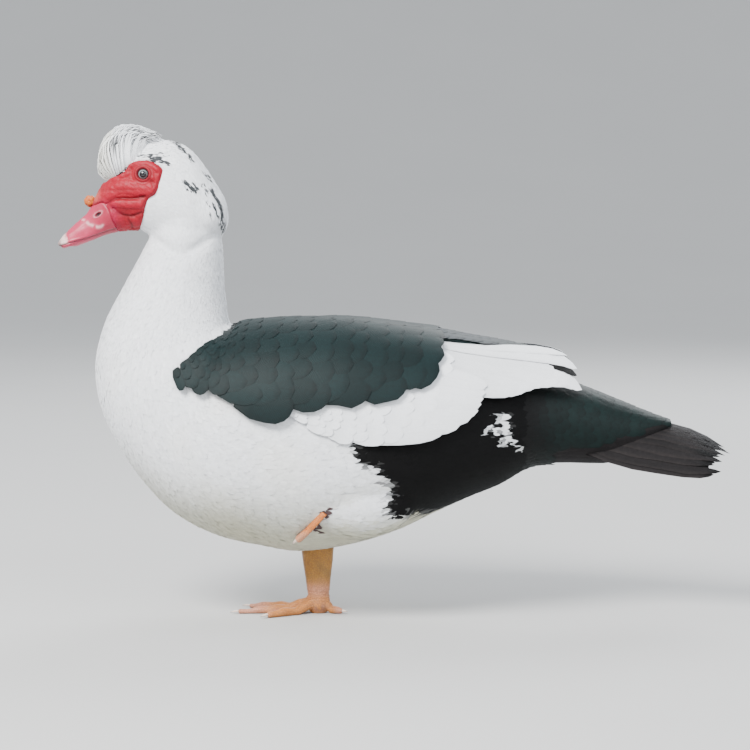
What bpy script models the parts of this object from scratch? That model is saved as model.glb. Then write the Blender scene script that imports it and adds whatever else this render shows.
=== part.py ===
"""A male muscovy duck at life size, standing on its right foot with the left one drawn up.

It faces -X, its left side is towards -Y, and +Z is up. The origin is at the middle of its
bounding box, on the floor. Lengths in the tables are millimetres, and angles are degrees.

Three systems of places are used. Head and feet are given in X, Y, Z. The body, neck and tail root
are one lofted trunk, on which a place is (along, round, lift): along is the X of a section
in the body and goes on counting up the neck, round is the angle from the back (0) over the
left side (90) to the belly (180), and lift is the height above the surface.
"""

import math
import random

import bmesh
import bpy
from mathutils import Matrix, Vector

MM = 0.001
GAP = 0.3
WELD = 0.05
SLIVER = 0.02
TOUCH = 0.001
EASE = 0.03
SEED = 11

# Each row of the trunk is one section: along, back X, back Z, belly X, belly Z, half width,
# and the exponent of its outline, which is 2 for an ellipse.
TRUNK = (
    (-390, -188, 408, -246, 415, 29, 2.0),
    (-365, -180, 385, -257.5, 393, 37, 2.0),
    (-340, -178, 362, -269.5, 371, 43, 2.0),
    (-315, -177, 342, -287, 340, 50, 2.0),
    (-290, -175, 325, -306, 302, 60, 2.0),
    (-265, -174, 314, -315, 256, 70, 2.1),
    (-240, -173, 308, -305, 206, 80, 2.1),
    (-215, -171, 304, -276, 154, 88, 2.2),
    (-190, -168, 302, -236, 109, 95, 2.2),
    (-165, -160, 302, -190, 83, 100, 2.2),
    (-140, -140, 304, -140, 71, 103, 2.2),
    (-100, -100, 306, -100, 65.5, 106, 2.2),
    (-50, -50, 304, -50, 72, 106, 2.2),
    (0, 0, 298, 0, 87, 103, 2.2),
    (40, 40, 291, 40, 106, 97, 2.2),
    (75, 75, 281, 75, 122, 87, 2.2),
    (110, 110, 270, 110, 136, 72, 2.1),
    (142, 142, 258, 142, 154, 56, 2.1),
    (170, 170, 248, 170, 158, 49, 2.1),
    (200, 200, 237, 200, 158, 43, 2.1),
    (230, 230, 225, 230, 160, 35, 2.1),
    (262, 262, 212, 262, 178, 24, 2.1),
    (286, 286, 203, 286, 194, 11, 2.0),
)
TRUNK_SIDES = 28
TRUNK_STEP = 30
RUMP_END = 142
NECK_SEAM = -265
# The line, seen from the side, where the pale front of the body meets the black rump.
RUMP_SEAM = ((-55, 340), (-55, 178), (-15, 141), (-22, 116), (4, 104), (60, 109), (75, 60))

# Each row of the head is one section: X, top Z, bottom Z, Z of its widest place, half width.
HEAD = (
    (-350, 389, 383.5, 386, 3.5),
    (-346, 394.5, 381, 386.5, 9),
    (-338, 403, 383, 389, 11.5),
    (-328, 412, 386.5, 394, 12),
    (-319, 421, 390, 398, 12.2),
    (-311, 437, 393, 404, 13.5),
    (-304, 449, 396, 411, 15.5),
    (-295, 458, 398.5, 419, 18.5),
    (-282, 471, 401, 428, 22),
    (-268, 483.5, 401, 435, 24.5),
    (-255, 491.5, 395, 436, 27),
    (-240, 495.5, 386, 430, 31),
    (-224, 493, 381, 423, 34),
    (-208, 481.5, 382, 419, 33.5),
    (-194, 463, 389, 419, 28),
    (-184, 446, 397, 420, 20),
    (-177, 430, 407, 419, 9),
)
HEAD_SIDES = 24
HEAD_STEP = 7.4
# The seams of the head, seen from the side as X, Z: the mouth, the edge of the horny bill
# and the edge of the bare red mask.
MOUTH_SEAM = ((-358, 383.5), (-346, 386), (-318, 394), (-298, 401.2), (-280, 406), (-262, 408))
BILL_SEAM = ((-334, 426), (-314, 427), (-303, 430), (-296, 421), (-292, 410), (-288, 400))
MASK_SEAM = (
    (-320, 462),
    (-305, 451),
    (-284, 461),
    (-277, 469),
    (-268, 475),
    (-256, 474),
    (-241, 465),
    (-246, 450),
    (-251, 439),
    (-260, 432),
    (-264, 419),
    (-267, 404),
    (-268, 380),
)

EYE = (-261.5, -17.6, 460)
EYE_RADIUS = 6.4
LID_RADIUS = 1.7
NOSTRIL = (-308, -11.5, 418)
NOSTRIL_RADII = (3.6, 3.2, 1.9)
KNOB = (-317.5, 0, 431.5)
KNOB_RADII = (5.4, 5.6, 5.2)

# The tail's roof, as rows of X, Z along its ridge, Z along its edges and half width.
TAIL = (
    (184, 232, 170, 33),
    (215, 219, 161, 39),
    (250, 208, 155, 45),
    (285, 200, 151.5, 49),
    (318, 189, 150.5, 50),
    (350, 168, 150, 43),
)
TAIL_THICK = 1.8
TAIL_PLATE_END = 322
TAIL_TIP = 350
RECTRIX_WIDTH = 14.5
TAIL_PAIRS = 6
# Rows of tail coverts: where they end, their angles round the trunk and their width.
TAIL_COVERTS = (
    (206, (-34, 34), 36),
    (240, (-24, 24), 30),
    (274, (0,), 22),
    (208, (155, 205), 26),
)

# The wing is a plate on the trunk: along, and the angles of its upper and lower edge.
WING_EDGES = (
    (-105, 30, 72),
    (-71, 30, 80),
    (-32, 30, 88),
    (10, 30, 90),
    (35, 27, 90),
    (57, 23.5, 84),
    (76, 21.5, 73),
    (92, 19.5, 60),
    (134, 15.5, 48),
)
WING_LIFT = 1.9
WING_THICK = 4.0
# Feathers of the wing as root and tip (along, round), width and how proud the tip stands.
PRIMARIES = (
    ((58, 60), (120, 53), 27, 1.8),
    ((56, 55), (139, 47), 27, 2.0),
    ((54, 49), (157, 41), 27, 2.2),
    ((52, 44), (173, 36), 26, 2.4),
    ((50, 39), (184, 31), 26, 2.6),
    ((48, 34), (191, 26.5), 24, 2.8),
    ((46, 30), (180, 20), 20, 3.6),
)
SECONDARIES = (
    ((-2, 58), (84, 66), 26, 2.2),
    ((-12, 66), (82, 73), 26, 2.0),
    ((-24, 74), (75, 80.5), 26, 1.9),
    ((-38, 80), (60, 85.5), 26, 1.8),
    ((-52, 84), (38, 89), 25, 1.7),
)
COVERTS = (
    ((-26, 61), (38, 66), 26, 3.3),
    ((-44, 69), (22, 74), 26, 3.2),
    ((-60, 75), (4, 81.5), 25, 3.1),
    ((-72, 79), (-18, 87.5), 24, 3.0),
)

# The mantle is a plate over trunk and wing: along, and the angle of its lower edge.
MANTLE_EDGES = (
    (-244, 73),
    (-228, 75),
    (-212, 72),
    (-192, 65),
    (-160, 59),
    (-129, 62),
    (-103, 64),
    (-69, 59),
    (-17, 57),
    (30, 54),
    (48, 46),
)
MANTLE_FRONT = (-206, -246)
MANTLE_LIFT = 2.1
MANTLE_BREAST_RISE = 1.0
MANTLE_OVER_WING = 2.5
MANTLE_THICK = 3.2
# The large feathers of the mantle: tip (along, round), length, drop and width.
SCAPULARS = (
    ((-178, 61), 40, 2, 38),
    ((-140, 60), 50, 8, 38),
    ((-101, 66), 55, 9, 38),
    ((-60, 59), 56, 8, 40),
    ((-12, 56), 60, 6, 40),
    ((36, 53), 62, 5, 38),
    ((-132, 41), 50, 5, 42),
    ((-76, 40), 56, 4, 42),
    ((-18, 38), 60, 4, 42),
    ((46, 35), 62, 3, 40),
    ((-48, 18), 60, 2, 40),
)
# The lift of the dark strip's ridge, on down the back between the wings.
STRIP_LIFTS = ((24, 6.0), (50, 9.0), (75, 11.5), (110, 16.5), (146, 21.5))

LONG_VANE = ((0.0, 0.6), (0.6, 1.0), (0.92, 0.68))
ROUND_VANE = ((0.0, 0.7), (0.55, 1.0), (0.88, 0.74))
LOCK_STATIONS = ((0.0, 0.85), (0.38, 1.0), (0.74, 0.7))
LOCK_WIDTH = 17
LOCK_THICK = 3.0
# The crest's core, and its rows of locks: X, Z of their roots, bends and tips, how far the outer
# ones stand to the side, and how many there are.
CREST_CORE = (-283.4, 0.3, 472)
CREST_CORE_RADII = (14, 12, 16)
CREST_BROW = (-293, 0, 459)
CREST_BROW_RADII = (8.5, 10, 7)
# The turn of the core and the brow about a slanting line, in radians.
CREST_TURN = 0.34
CREST_ROWS = (
    (-293, 459, -318, 463, -301, 489, 8, 3),
    (-292, 462, -317, 484, -294, 503, 12, 3),
    (-287, 463, -302, 507, -283, 509, 13, 3),
    (-279, 471, -288, 514, -269, 510, 14, 4),
    (-268, 477, -271, 517, -253, 504, 12, 3),
    (-257, 484, -257, 509, -241, 499, 9, 2),
)
CREST_CLEAR = 0.7

KNUCKLE = (-81.3, -0.4, 13)
HOCK = (-83, 15, 84)
FOOT_YAW = 6
TOE_RADIUS = 4.6
WEB_THICK = 1.3

COLOURS = {
    "white_feather": ((0.86, 0.87, 0.88), 0.8),
    "cream_feather": ((0.78, 0.78, 0.70), 0.85),
    "green_feather": ((0.020, 0.055, 0.055), 0.45),
    "black_feather": ((0.012, 0.013, 0.013), 0.7),
    "red_skin": ((0.62, 0.03, 0.06), 0.5),
    "pink_bill": ((0.80, 0.22, 0.32), 0.4),
    "orange_knob": ((0.80, 0.25, 0.03), 0.5),
    "eye": ((0.30, 0.36, 0.38), 0.1),
    "orange_skin": ((0.75, 0.33, 0.08), 0.55),
    "claw": ((0.72, 0.62, 0.52), 0.45),
}

draw = random.Random(SEED)


def clear_scene():
    """Remove every object of the startup scene."""
    for item in list(bpy.data.objects):
        bpy.data.objects.remove(item)


def material(name):
    """The material of that name, made on first use."""
    found = bpy.data.materials.get(name)
    if found:
        return found
    colour, roughness = COLOURS[name]
    found = bpy.data.materials.new(name)
    found.use_nodes = True
    shader = found.node_tree.nodes["Principled BSDF"]
    shader.inputs["Base Color"].default_value = (*colour, 1)
    shader.inputs["Roughness"].default_value = roughness
    shader.inputs["Metallic"].default_value = 0.0
    return found


def blend(low, high, share):
    """The value a share of the way from low to high."""
    return low + (high - low) * share


def ramp(value, start, end):
    """0 before start and 1 after end, with a smooth rise between them."""
    share = min(1.0, max(0.0, (value - start) / (end - start)))
    return share * share * (3 - 2 * share)


def smooth_row(rows, at):
    """The row at a value of the first column, on a smooth curve through all rows."""
    at = min(max(at, rows[0][0]), rows[-1][0])
    i = max(k for k in range(len(rows) - 1) if rows[k][0] <= at)
    here, after = rows[i], rows[i + 1]
    before = rows[i - 1] if i else here
    beyond = rows[i + 2] if i + 2 < len(rows) else after
    span = after[0] - here[0]
    t = (at - here[0]) / span
    values = []
    for a, b, c, d in zip(before[1:], here[1:], after[1:], beyond[1:]):
        slope_b = (c - a) / (after[0] - before[0]) * span
        slope_c = (d - b) / (beyond[0] - here[0]) * span
        values.append(
            (2 * t**3 - 3 * t**2 + 1) * b
            + (t**3 - 2 * t**2 + t) * slope_b
            + (3 * t**2 - 2 * t**3) * c
            + (t**3 - t**2) * slope_c
        )
    return values


def trunk_surface(along, round_angle):
    """The place on the trunk's surface, in millimetres."""
    back_x, back_z, belly_x, belly_z, half_width, power = smooth_row(TRUNK, along)
    back, belly = Vector((back_x, 0, back_z)), Vector((belly_x, 0, belly_z))
    middle = (back + belly) / 2
    half_depth = (back - belly).length / 2
    up = (back - belly).normalized()
    c, s = math.cos(math.radians(round_angle)), math.sin(math.radians(round_angle))
    reach = (abs(c / half_depth) ** power + abs(s / half_width) ** power) ** (-1 / power)
    return middle + up * (reach * c) + Vector((0, -reach * s, 0))


def tail_surface(x, across):
    """The place on the tail's roof. across goes from 1 at the left edge to -1 at the right."""
    ridge, edge, half_width = smooth_row(TAIL, x)
    return Vector((x, -across * half_width, ridge - (ridge - edge) * abs(across) ** 1.7))


def new_object(name, points, faces, look):
    """An object from points in millimetres and faces, with its normals pointing out."""
    mesh = bpy.data.meshes.new(name)
    shape = bmesh.new()
    made = [shape.verts.new(Vector(p) * MM) for p in points]
    for face in faces:
        shape.faces.new([made[i] for i in face])
    bmesh.ops.recalc_face_normals(shape, faces=shape.faces)
    if shape.calc_volume(signed=True) < 0:
        bmesh.ops.reverse_faces(shape, faces=shape.faces)
    shape.to_mesh(mesh)
    shape.free()
    mesh.materials.append(material(look))
    item = bpy.data.objects.new(name, mesh)
    bpy.context.scene.collection.objects.link(item)
    return item


def loft(name, rings, look):
    """A closed skin over rings of equally many points, with a flat fan over each end."""
    sides = len(rings[0])
    points = [p for ring in rings for p in ring]
    faces = []
    for k in range(len(rings) - 1):
        for i in range(sides):
            j = (i + 1) % sides
            a, b = k * sides, (k + 1) * sides
            faces.append((a + i, a + j, b + j, b + i))
    for ring, base in ((rings[0], 0), (rings[-1], (len(rings) - 1) * sides)):
        points.append(sum((Vector(p) for p in ring), Vector()) / sides)
        pole = len(points) - 1
        faces.extend((base + i, base + (i + 1) % sides, pole) for i in range(sides))
    return new_object(name, points, faces, look)


def tube(name, path, radii, look, sides=8, flatten=1.0):
    """A round limb along a path, with a radius at each point. flatten scales its height."""
    path = [Vector(p) for p in path]
    rings = []
    for k, here in enumerate(path):
        ahead = path[min(k + 1, len(path) - 1)] - path[max(k - 1, 0)]
        across = ahead.cross(Vector((0, 0, 1)))
        if across.length < 1e-6:
            across = Vector((0, 1, 0))
        across.normalize()
        rise = across.cross(ahead).normalized()
        ring = []
        for i in range(sides):
            turn = 2 * math.pi * (i + 0.5) / sides
            ring.append(
                here
                + across * (radii[k] * math.cos(turn))
                + rise * (radii[k] * flatten * math.sin(turn))
            )
        rings.append(ring)
    return loft(name, rings, look)


def ball(name, centre, radii, look, columns=12, rows=7):
    """An egg of the given radii along X, Y and Z, made as a turned loft with poles in Y."""
    rings = []
    for k in range(1, rows):
        tip = math.pi * k / rows
        ring = []
        for i in range(columns):
            turn = 2 * math.pi * i / columns
            ring.append(
                (
                    centre[0] + radii[0] * math.sin(tip) * math.cos(turn),
                    centre[1] - radii[1] * math.cos(tip),
                    centre[2] + radii[2] * math.sin(tip) * math.sin(turn),
                )
            )
        rings.append(ring)
    item = loft(name, rings, look)
    mesh = item.data
    for pole, side in ((len(mesh.vertices) - 2, -1), (len(mesh.vertices) - 1, 1)):
        mesh.vertices[pole].co = Vector((centre[0], centre[1] + side * radii[1], centre[2])) * MM
    return item


class Skin:
    """A surface with two coordinates, on which plates and feathers lie at a lift."""

    def __init__(self, surface, last_along, round_step):
        self.surface = surface
        self.last_along = last_along
        self.round_step = round_step

    def place(self, along, turn, lift=0.0):
        """The point at a lift above the surface."""
        here = self.surface(along, turn)
        if not lift:
            return here
        run, side = self.steps(along, turn)
        return here + side.cross(run).normalized() * lift

    def steps(self, along, turn):
        """How far a small step goes each way."""
        at = min(along, self.last_along - 1)
        step = self.round_step
        run = self.surface(at + 1, turn) - self.surface(at - 1, turn)
        side = self.surface(along, turn + step) - self.surface(along, turn - step)
        return run, side

    def scale(self, along, turn):
        """Millimetres for each unit of the two coordinates."""
        run, side = self.steps(along, turn)
        return run.length / 2, side.length / (2 * self.round_step)


TRUNK_SKIN = Skin(trunk_surface, TRUNK[-1][0], 1.0)
TAIL_SKIN = Skin(tail_surface, TAIL[-1][0], 0.02)


def wedge(name, place, look, stations):
    """A feather's vane. place(t, s, level) gives the point a share t from root to tip and s half
    widths across, on its under side (level 0) or its upper side (level 1). stations are
    (t, share of the half width), and the vane ends in a point at t = 1."""
    points = []
    for t, share in stations:
        points.append(place(t, -share, 0))
        points.append(place(t, share, 0))
        points.append(place(t, share, 1))
        points.append(place(t, 0, 1))
        points.append(place(t, -share, 1))
    faces = []
    for k in range(len(stations) - 1):
        for i in range(5):
            a, b = 5 * k + i, 5 * k + (i + 1) % 5
            faces.append((a, b, b + 5))
            faces.append((a, b + 5, a + 5))
    faces += [(0, 1, 2), (0, 2, 3), (0, 3, 4)]
    last = len(points) - 5
    points.append(place(1.0, 0, 0.5))
    faces.extend((last + i, last + (i + 1) % 5, last + 5) for i in range(5))
    return new_object(name, points, faces, look)


def feather(name, skin, root, tip, width, lifts, sinks, base, look, tilt=0.0, form=ROUND_VANE):
    """A vane that lies on a skin from root to tip. Its upper side stands lifts above
    base(along, turn) at root and tip, its under side sinks below it, and the edge with the
    greater turn stands tilt prouder than the middle."""

    def place(t, s, level):
        along, turn = blend(root[0], tip[0], t), blend(root[1], tip[1], t)
        per_along, per_turn = skin.scale(along, turn)
        run = Vector(((tip[0] - root[0]) * per_along, (tip[1] - root[1]) * per_turn)).normalized()
        along -= run.y * s * width / 2 / per_along
        turn += run.x * s * width / 2 / per_turn
        upper = blend(lifts[0], lifts[1], t) + tilt * s
        under = -blend(sinks[0], sinks[1], t) + min(0.0, tilt * s)
        return skin.place(along, turn, base(along, turn) + blend(under, upper, level))

    return wedge(name, place, look, form)


def lock(name, curve, width, out, thick=LOCK_THICK, look="white_feather"):
    """A flat, tapered lock along the bend through three control points, lens-shaped across. Its
    flat side faces out."""
    a, b, c = (Vector(p) for p in curve)
    points = []
    for t, share in LOCK_STATIONS:
        here = a * (1 - t) ** 2 + b * (2 * t * (1 - t)) + c * t**2
        ahead = ((b - a) * (1 - t) + (c - b) * t).normalized()
        side = ahead.cross(out).normalized()
        face = side.cross(ahead)
        points.append(here - side * (share * width / 2))
        points.append(here - face * (thick / 2))
        points.append(here + side * (share * width / 2))
        points.append(here + face * (thick / 2))
    points.append(c)
    faces = []
    for k in range(len(LOCK_STATIONS) - 1):
        for i in range(4):
            p, q = 4 * k + i, 4 * k + (i + 1) % 4
            faces.append((p, q, q + 4))
            faces.append((p, q + 4, p + 4))
    faces += [(0, 1, 2), (0, 2, 3)]
    last = len(points) - 5
    faces.extend((last + i, last + (i + 1) % 4, last + 4) for i in range(4))
    return new_object(name, points, faces, look)


def apply_modifiers(item):
    """Replace the object's mesh by what its modifiers make of it."""
    bpy.context.view_layer.update()
    graph = bpy.context.evaluated_depsgraph_get()
    made = bpy.data.meshes.new_from_object(item.evaluated_get(graph))
    item.modifiers.clear()
    old = item.data
    item.data = made
    bpy.data.meshes.remove(old)


def loose_parts(item):
    """The closed surfaces of a mesh, largest first, each as a list of face indices."""
    shape = bmesh.new()
    shape.from_mesh(item.data)
    shape.faces.ensure_lookup_table()
    seen, parts = set(), []
    for start in shape.faces:
        if start.index in seen:
            continue
        seen.add(start.index)
        stack, part = [start], []
        while stack:
            face = stack.pop()
            part.append(face.index)
            for edge in face.edges:
                for other in edge.link_faces:
                    if other.index not in seen:
                        seen.add(other.index)
                        stack.append(other)
        parts.append(part)

    def size(part):
        low = [min(v.co[i] for f in part for v in shape.faces[f].verts) for i in range(3)]
        high = [max(v.co[i] for f in part for v in shape.faces[f].verts) for i in range(3)]
        return math.prod(h - low_side for h, low_side in zip(high, low))

    parts.sort(key=size, reverse=True)
    shape.free()
    return parts


def keep_faces(item, part):
    """Leave only the given faces in the object's mesh."""
    shape = bmesh.new()
    shape.from_mesh(item.data)
    keep = set(part)
    gone = [f for f in shape.faces if f.index not in keep]
    bmesh.ops.delete(shape, geom=gone, context="FACES")
    shape.to_mesh(item.data)
    shape.free()


def combine(item, others, operation, solver="EXACT"):
    """One Boolean of the object with all the others, which are then removed."""
    group = bpy.data.collections.new(item.name + "_tools")
    bpy.context.scene.collection.children.link(group)
    for other in others:
        bpy.context.scene.collection.objects.unlink(other)
        group.objects.link(other)
    change = item.modifiers.new(operation, "BOOLEAN")
    change.operation = operation
    change.operand_type = "COLLECTION"
    change.collection = group
    change.solver = solver
    apply_modifiers(item)
    for other in others:
        bpy.data.objects.remove(other)
    bpy.data.collections.remove(group)
    return item


def heal(item):
    """Merge the ends of the very short edges that a Boolean leaves, and turn the long edges of
    its slivers, where all stays closed."""
    shape = bmesh.new()
    shape.from_mesh(item.data)
    bmesh.ops.triangulate(shape, faces=shape.faces)
    for edge in [e for e in shape.edges if e.calc_length() < WELD * MM]:
        if not edge.is_valid:
            continue
        a, b = edge.verts
        shared = {e.other_vert(a) for e in a.link_edges} & {e.other_vert(b) for e in b.link_edges}
        if len(shared) == 2:
            bmesh.ops.pointmerge(shape, verts=[a, b], merge_co=(a.co + b.co) / 2)
    for face in list(shape.faces):
        if not face.is_valid:
            continue
        longest = max(face.edges, key=lambda e: e.calc_length())
        if 2 * face.calc_area() >= SLIVER * MM * longest.calc_length():
            continue
        corners = {v for f in longest.link_faces for v in f.verts} - set(longest.verts)
        near, far = corners if len(corners) == 2 else (None, None)
        if near and all(e.other_vert(near) is not far for e in near.link_edges):
            bmesh.ops.rotate_edges(shape, edges=[longest])
    ease_apart(shape)
    if all(len(edge.link_faces) == 2 for edge in shape.edges):
        shape.to_mesh(item.data)
    shape.free()


def ease_apart(shape):
    """Move corners of different folds off each other where they stand at one place: a ridge
    draws back a little, and a valley fills a little."""
    places = {}
    for vertex in shape.verts:
        key = tuple(round(c / (TOUCH * MM)) for c in vertex.co)
        places.setdefault(key, []).append(vertex)
    moves = []
    for group in places.values():
        if len(group) == 1:
            continue
        for vertex in group:
            bend = sum(e.calc_face_angle_signed(0.0) * e.calc_length() for e in vertex.link_edges)
            normal = sum((f.normal for f in vertex.link_faces), Vector()).normalized()
            moves.append((vertex, normal * (EASE * MM * (-1 if bend > 0 else 1))))
    for vertex, move in moves:
        vertex.co += move


def fuse(item, pieces, solver="MANIFOLD"):
    """Join the pieces to the object, and keep its largest closed surface."""
    combine(item, pieces, "UNION", solver)
    heal(item)
    keep_faces(item, loose_parts(item)[0])
    return item


def carve(item, cutters, solver="EXACT"):
    """Cut the cutters from the object, and keep its largest closed surface."""
    combine(item, cutters, "DIFFERENCE", solver)
    heal(item)
    keep_faces(item, loose_parts(item)[0])
    return item


def copy_of(item, name):
    """A second object with a mesh of its own."""
    other = bpy.data.objects.new(name, item.data.copy())
    bpy.context.scene.collection.objects.link(other)
    return other


def grown(item, by=GAP):
    """A copy of the object with its surface moved outwards."""
    other = copy_of(item, item.name + "_grown")
    normals = [v.normal.copy() for v in other.data.vertices]
    for vertex, normal in zip(other.data.vertices, normals):
        vertex.co += normal * (by * MM)
    return other


def mirrored(item, name):
    """A copy of the object on the other side of the bird."""
    other = copy_of(item, name)
    other.data.transform(Matrix.Scale(-1, 4, Vector((0, 1, 0))))
    other.data.flip_normals()
    return other


def ribbon(name, line):
    """A thin upright wall along a line seen from the side, which parts what it crosses."""
    points = [Vector((x, z)) for x, z in line]
    sides = []
    for k, here in enumerate(points):
        ahead = points[min(k + 1, len(points) - 1)] - points[max(k - 1, 0)]
        normal = Vector((-ahead.y, ahead.x)).normalized() * (GAP / 2)
        sides.append((here + normal, here - normal))
    outline = [a for a, _ in sides] + [b for _, b in reversed(sides)]
    reach = 200
    near = [(p.x, -reach, p.y) for p in outline]
    far = [(p.x, reach, p.y) for p in outline]
    count, half = len(outline), len(points)
    faces = [(i, (i + 1) % count, count + (i + 1) % count, count + i) for i in range(count)]
    for k in range(half - 1):
        quad = (k, k + 1, count - 2 - k, count - 1 - k)
        faces.append(quad)
        faces.append(tuple(count + i for i in quad))
    return new_object(name, near + far, faces, "claw")


def part_with(item, lines, names):
    """Part the object along the lines. names are (name, look, X, Z): each loose part takes the
    name whose place, seen from the side, is nearest to its middle."""
    combine(item, [ribbon(f"seam_{k}", line) for k, line in enumerate(lines)], "DIFFERENCE")
    made = {}
    for part in loose_parts(item)[: len(names)]:
        piece = copy_of(item, "part")
        keep_faces(piece, part)
        corners = [v.co / MM for v in piece.data.vertices]
        x = (min(c.x for c in corners) + max(c.x for c in corners)) / 2
        z = (min(c.z for c in corners) + max(c.z for c in corners)) / 2
        name, look = min(names, key=lambda row: (row[2] - x) ** 2 + (row[3] - z) ** 2)[:2]
        piece.name = name
        piece.data.materials.clear()
        piece.data.materials.append(material(look))
        made[name] = piece
    bpy.data.objects.remove(item)
    return made


def head_surface(x, angle, extra=0.0):
    """The place on the head's surface. The angle goes from the crown over the left side."""
    top, bottom, widest, half_width = smooth_row(HEAD, x)
    c, s = math.cos(math.radians(angle)), math.sin(math.radians(angle))
    height = (top - widest if c > 0 else widest - bottom) + extra
    reach = ((c / height) ** 2 + (s / (half_width + extra)) ** 2) ** -0.5
    return Vector((x, -reach * s, widest + reach * c))


def make_trunk():
    """The body, neck and tail root, parted into torso, rump, neck and tail core."""
    length = TRUNK[-1][0] - TRUNK[0][0]
    count = round(length / TRUNK_STEP)
    rings = []
    for k in range(count + 1):
        along = TRUNK[0][0] + length * k / count
        rings.append(
            [trunk_surface(along, 360 * (i + 0.5) / TRUNK_SIDES) for i in range(TRUNK_SIDES)]
        )
    whole = loft("trunk", rings, "white_feather")
    back_x, back_z, belly_x, belly_z = smooth_row(TRUNK, NECK_SEAM)[:4]
    slope = Vector((belly_x - back_x, belly_z - back_z)).normalized() * 40
    neck_line = (
        (back_x - slope.x, back_z - slope.y),
        (belly_x + slope.x, belly_z + slope.y),
    )
    tail_line = ((RUMP_END, 60), (RUMP_END, 340))
    return part_with(
        whole,
        [RUMP_SEAM, tail_line, neck_line],
        (
            ("torso", "white_feather", -180, 185),
            ("rump", "black_feather", 45, 200),
            ("neck", "white_feather", -230, 360),
            ("tail", "black_feather", 200, 205),
        ),
    )


def make_head():
    """The head, parted into bill, mask and feathered skull."""
    length = HEAD[-1][0] - HEAD[0][0]
    count = round(length / HEAD_STEP)
    rings = []
    for k in range(count + 1):
        x = HEAD[0][0] + length * k / count
        rings.append([head_surface(x, 360 * i / HEAD_SIDES) for i in range(HEAD_SIDES)])
    whole = loft("whole_head", rings, "white_feather")
    cast = grown(whole)
    parts = part_with(
        whole,
        [MOUTH_SEAM, BILL_SEAM, MASK_SEAM],
        (
            ("head", "white_feather", -235, 437),
            ("face", "red_skin", -275, 440),
            ("bill_upper", "pink_bill", -322, 408),
            ("bill_lower", "pink_bill", -308, 394),
        ),
    )
    return parts, cast


def dress_face(face):
    """Lids, brow, and the lobes of bare skin between bill and cheek, and the eye sockets."""
    lobes = (
        # A run of places as (X, Z), and the radius of each lobe at its middle.
        (((-312, 438), (-300, 444), (-286, 451), (-274, 462)), 4.6),
        (((-300, 434), (-288, 440), (-274, 443), (-257, 444)), 4.8),
        (((-293, 423), (-284, 426), (-275, 426), (-267, 424)), 6.2),
        (((-271, 468), (-262, 470), (-254, 468), (-248, 462)), 2.4),
    )
    bulbs = ((-297, 447, 3.0), (-282, 458, 2.6), (-252, 453, 2.3), (-252, 445, 2.4))
    pieces = []
    for side in (1, -1):
        for k, (line, radius) in enumerate(lobes):
            path = []
            for x, z in line:
                y = face_side(x, z)
                path.append((x, side * (y + radius * 0.45), z))
            radii = [radius * 0.5, radius, radius, radius * 0.45]
            pieces.append(tube(f"lobe_{k}_{side}", path, radii, "red_skin", 5))
        for k, (x, z, radius) in enumerate(bulbs):
            centre = (x, side * face_side(x, z), z)
            pieces.append(ball(f"bulb_{k}_{side}", centre, (radius,) * 3, "red_skin", 6, 4))
        lid = []
        for i in range(10):
            turn = 2 * math.pi * i / 10
            reach = EYE_RADIUS * 0.92
            lid.append(
                (
                    EYE[0] + reach * 1.08 * math.cos(turn),
                    side * (EYE[1] - 3.2),
                    EYE[2] + reach * 0.92 * math.sin(turn),
                )
            )
        pieces.append(ring_of("lid", lid, LID_RADIUS))
    fuse(face, pieces)
    eyes = [eye_ball("eye_cut", side, EYE_RADIUS + GAP) for side in (1, -1)]
    return carve(face, eyes, "MANIFOLD")


def ring_of(name, path, radius, sides=5):
    """A closed ring of round section that stands up in the X-Z plane."""
    count = len(path)
    centre = sum((Vector(p) for p in path), Vector()) / count
    points, faces = [], []
    for here in path:
        out = (Vector(here) - centre).normalized()
        for i in range(sides):
            turn = 2 * math.pi * i / sides
            points.append(
                Vector(here)
                + out * (radius * math.cos(turn))
                + Vector((0, radius * math.sin(turn), 0))
            )
    for k in range(count):
        a, b = k * sides, (k + 1) % count * sides
        for i in range(sides):
            j = (i + 1) % sides
            faces.append((a + i, a + j, b + j, b + i))
    return new_object(name, points, faces, "red_skin")


def face_side(x, z):
    """How far out the head's left side is at a place seen from the side, as a negative Y."""
    low, high = 1.0, 179.0
    for _ in range(30):
        middle = (low + high) / 2
        if head_surface(x, middle).z > z:
            low = middle
        else:
            high = middle
    return head_surface(x, low).y


def eye_ball(name, side, radius):
    """One eye, or a cutter for its socket. Side 1 is the left one."""
    centre = (EYE[0], side * EYE[1], EYE[2])
    return ball(name, centre, (radius,) * 3, "eye", 12, 8)


def make_crest():
    """A low core with broad flat locks over it, cut clear of the mask."""
    crest = ball("crest", CREST_CORE, CREST_CORE_RADII, "white_feather", 10, 6)
    turn_a_little(crest, CREST_CORE)
    brow = ball("brow", CREST_BROW, CREST_BROW_RADII, "white_feather", 10, 5)
    turn_a_little(brow, CREST_BROW)
    pieces = [brow]
    for row, (root_x, root_z, bend_x, bend_z, tip_x, tip_z, spread, count) in enumerate(CREST_ROWS):
        for k in range(count):
            share = (k / (count - 1) - 0.5) * 2 + draw.uniform(-0.05, 0.05)
            lean = draw.uniform(-1.5, 1.5)
            drop = 6 * share * share
            root = Vector((root_x, share * spread * 0.6, root_z))
            bend = Vector((bend_x + lean, share * spread * 1.3, bend_z - drop))
            tip = Vector((tip_x - lean, share * spread * 0.9, tip_z - drop))
            out = bend - Vector(CREST_CORE)
            pieces.append(lock(f"lock_{row}_{k}", (root, bend, tip), LOCK_WIDTH, out))
    combine(crest, pieces, "UNION", "MANIFOLD")
    line = [(x, z + CREST_CLEAR) for x, z in MASK_SEAM[:6]]
    line += [(line[-1][0], line[-1][1] - 60), (line[0][0], line[-1][1] - 60)]
    return combine(crest, [prism("below_crest", line, 60)], "DIFFERENCE", "MANIFOLD")


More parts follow.
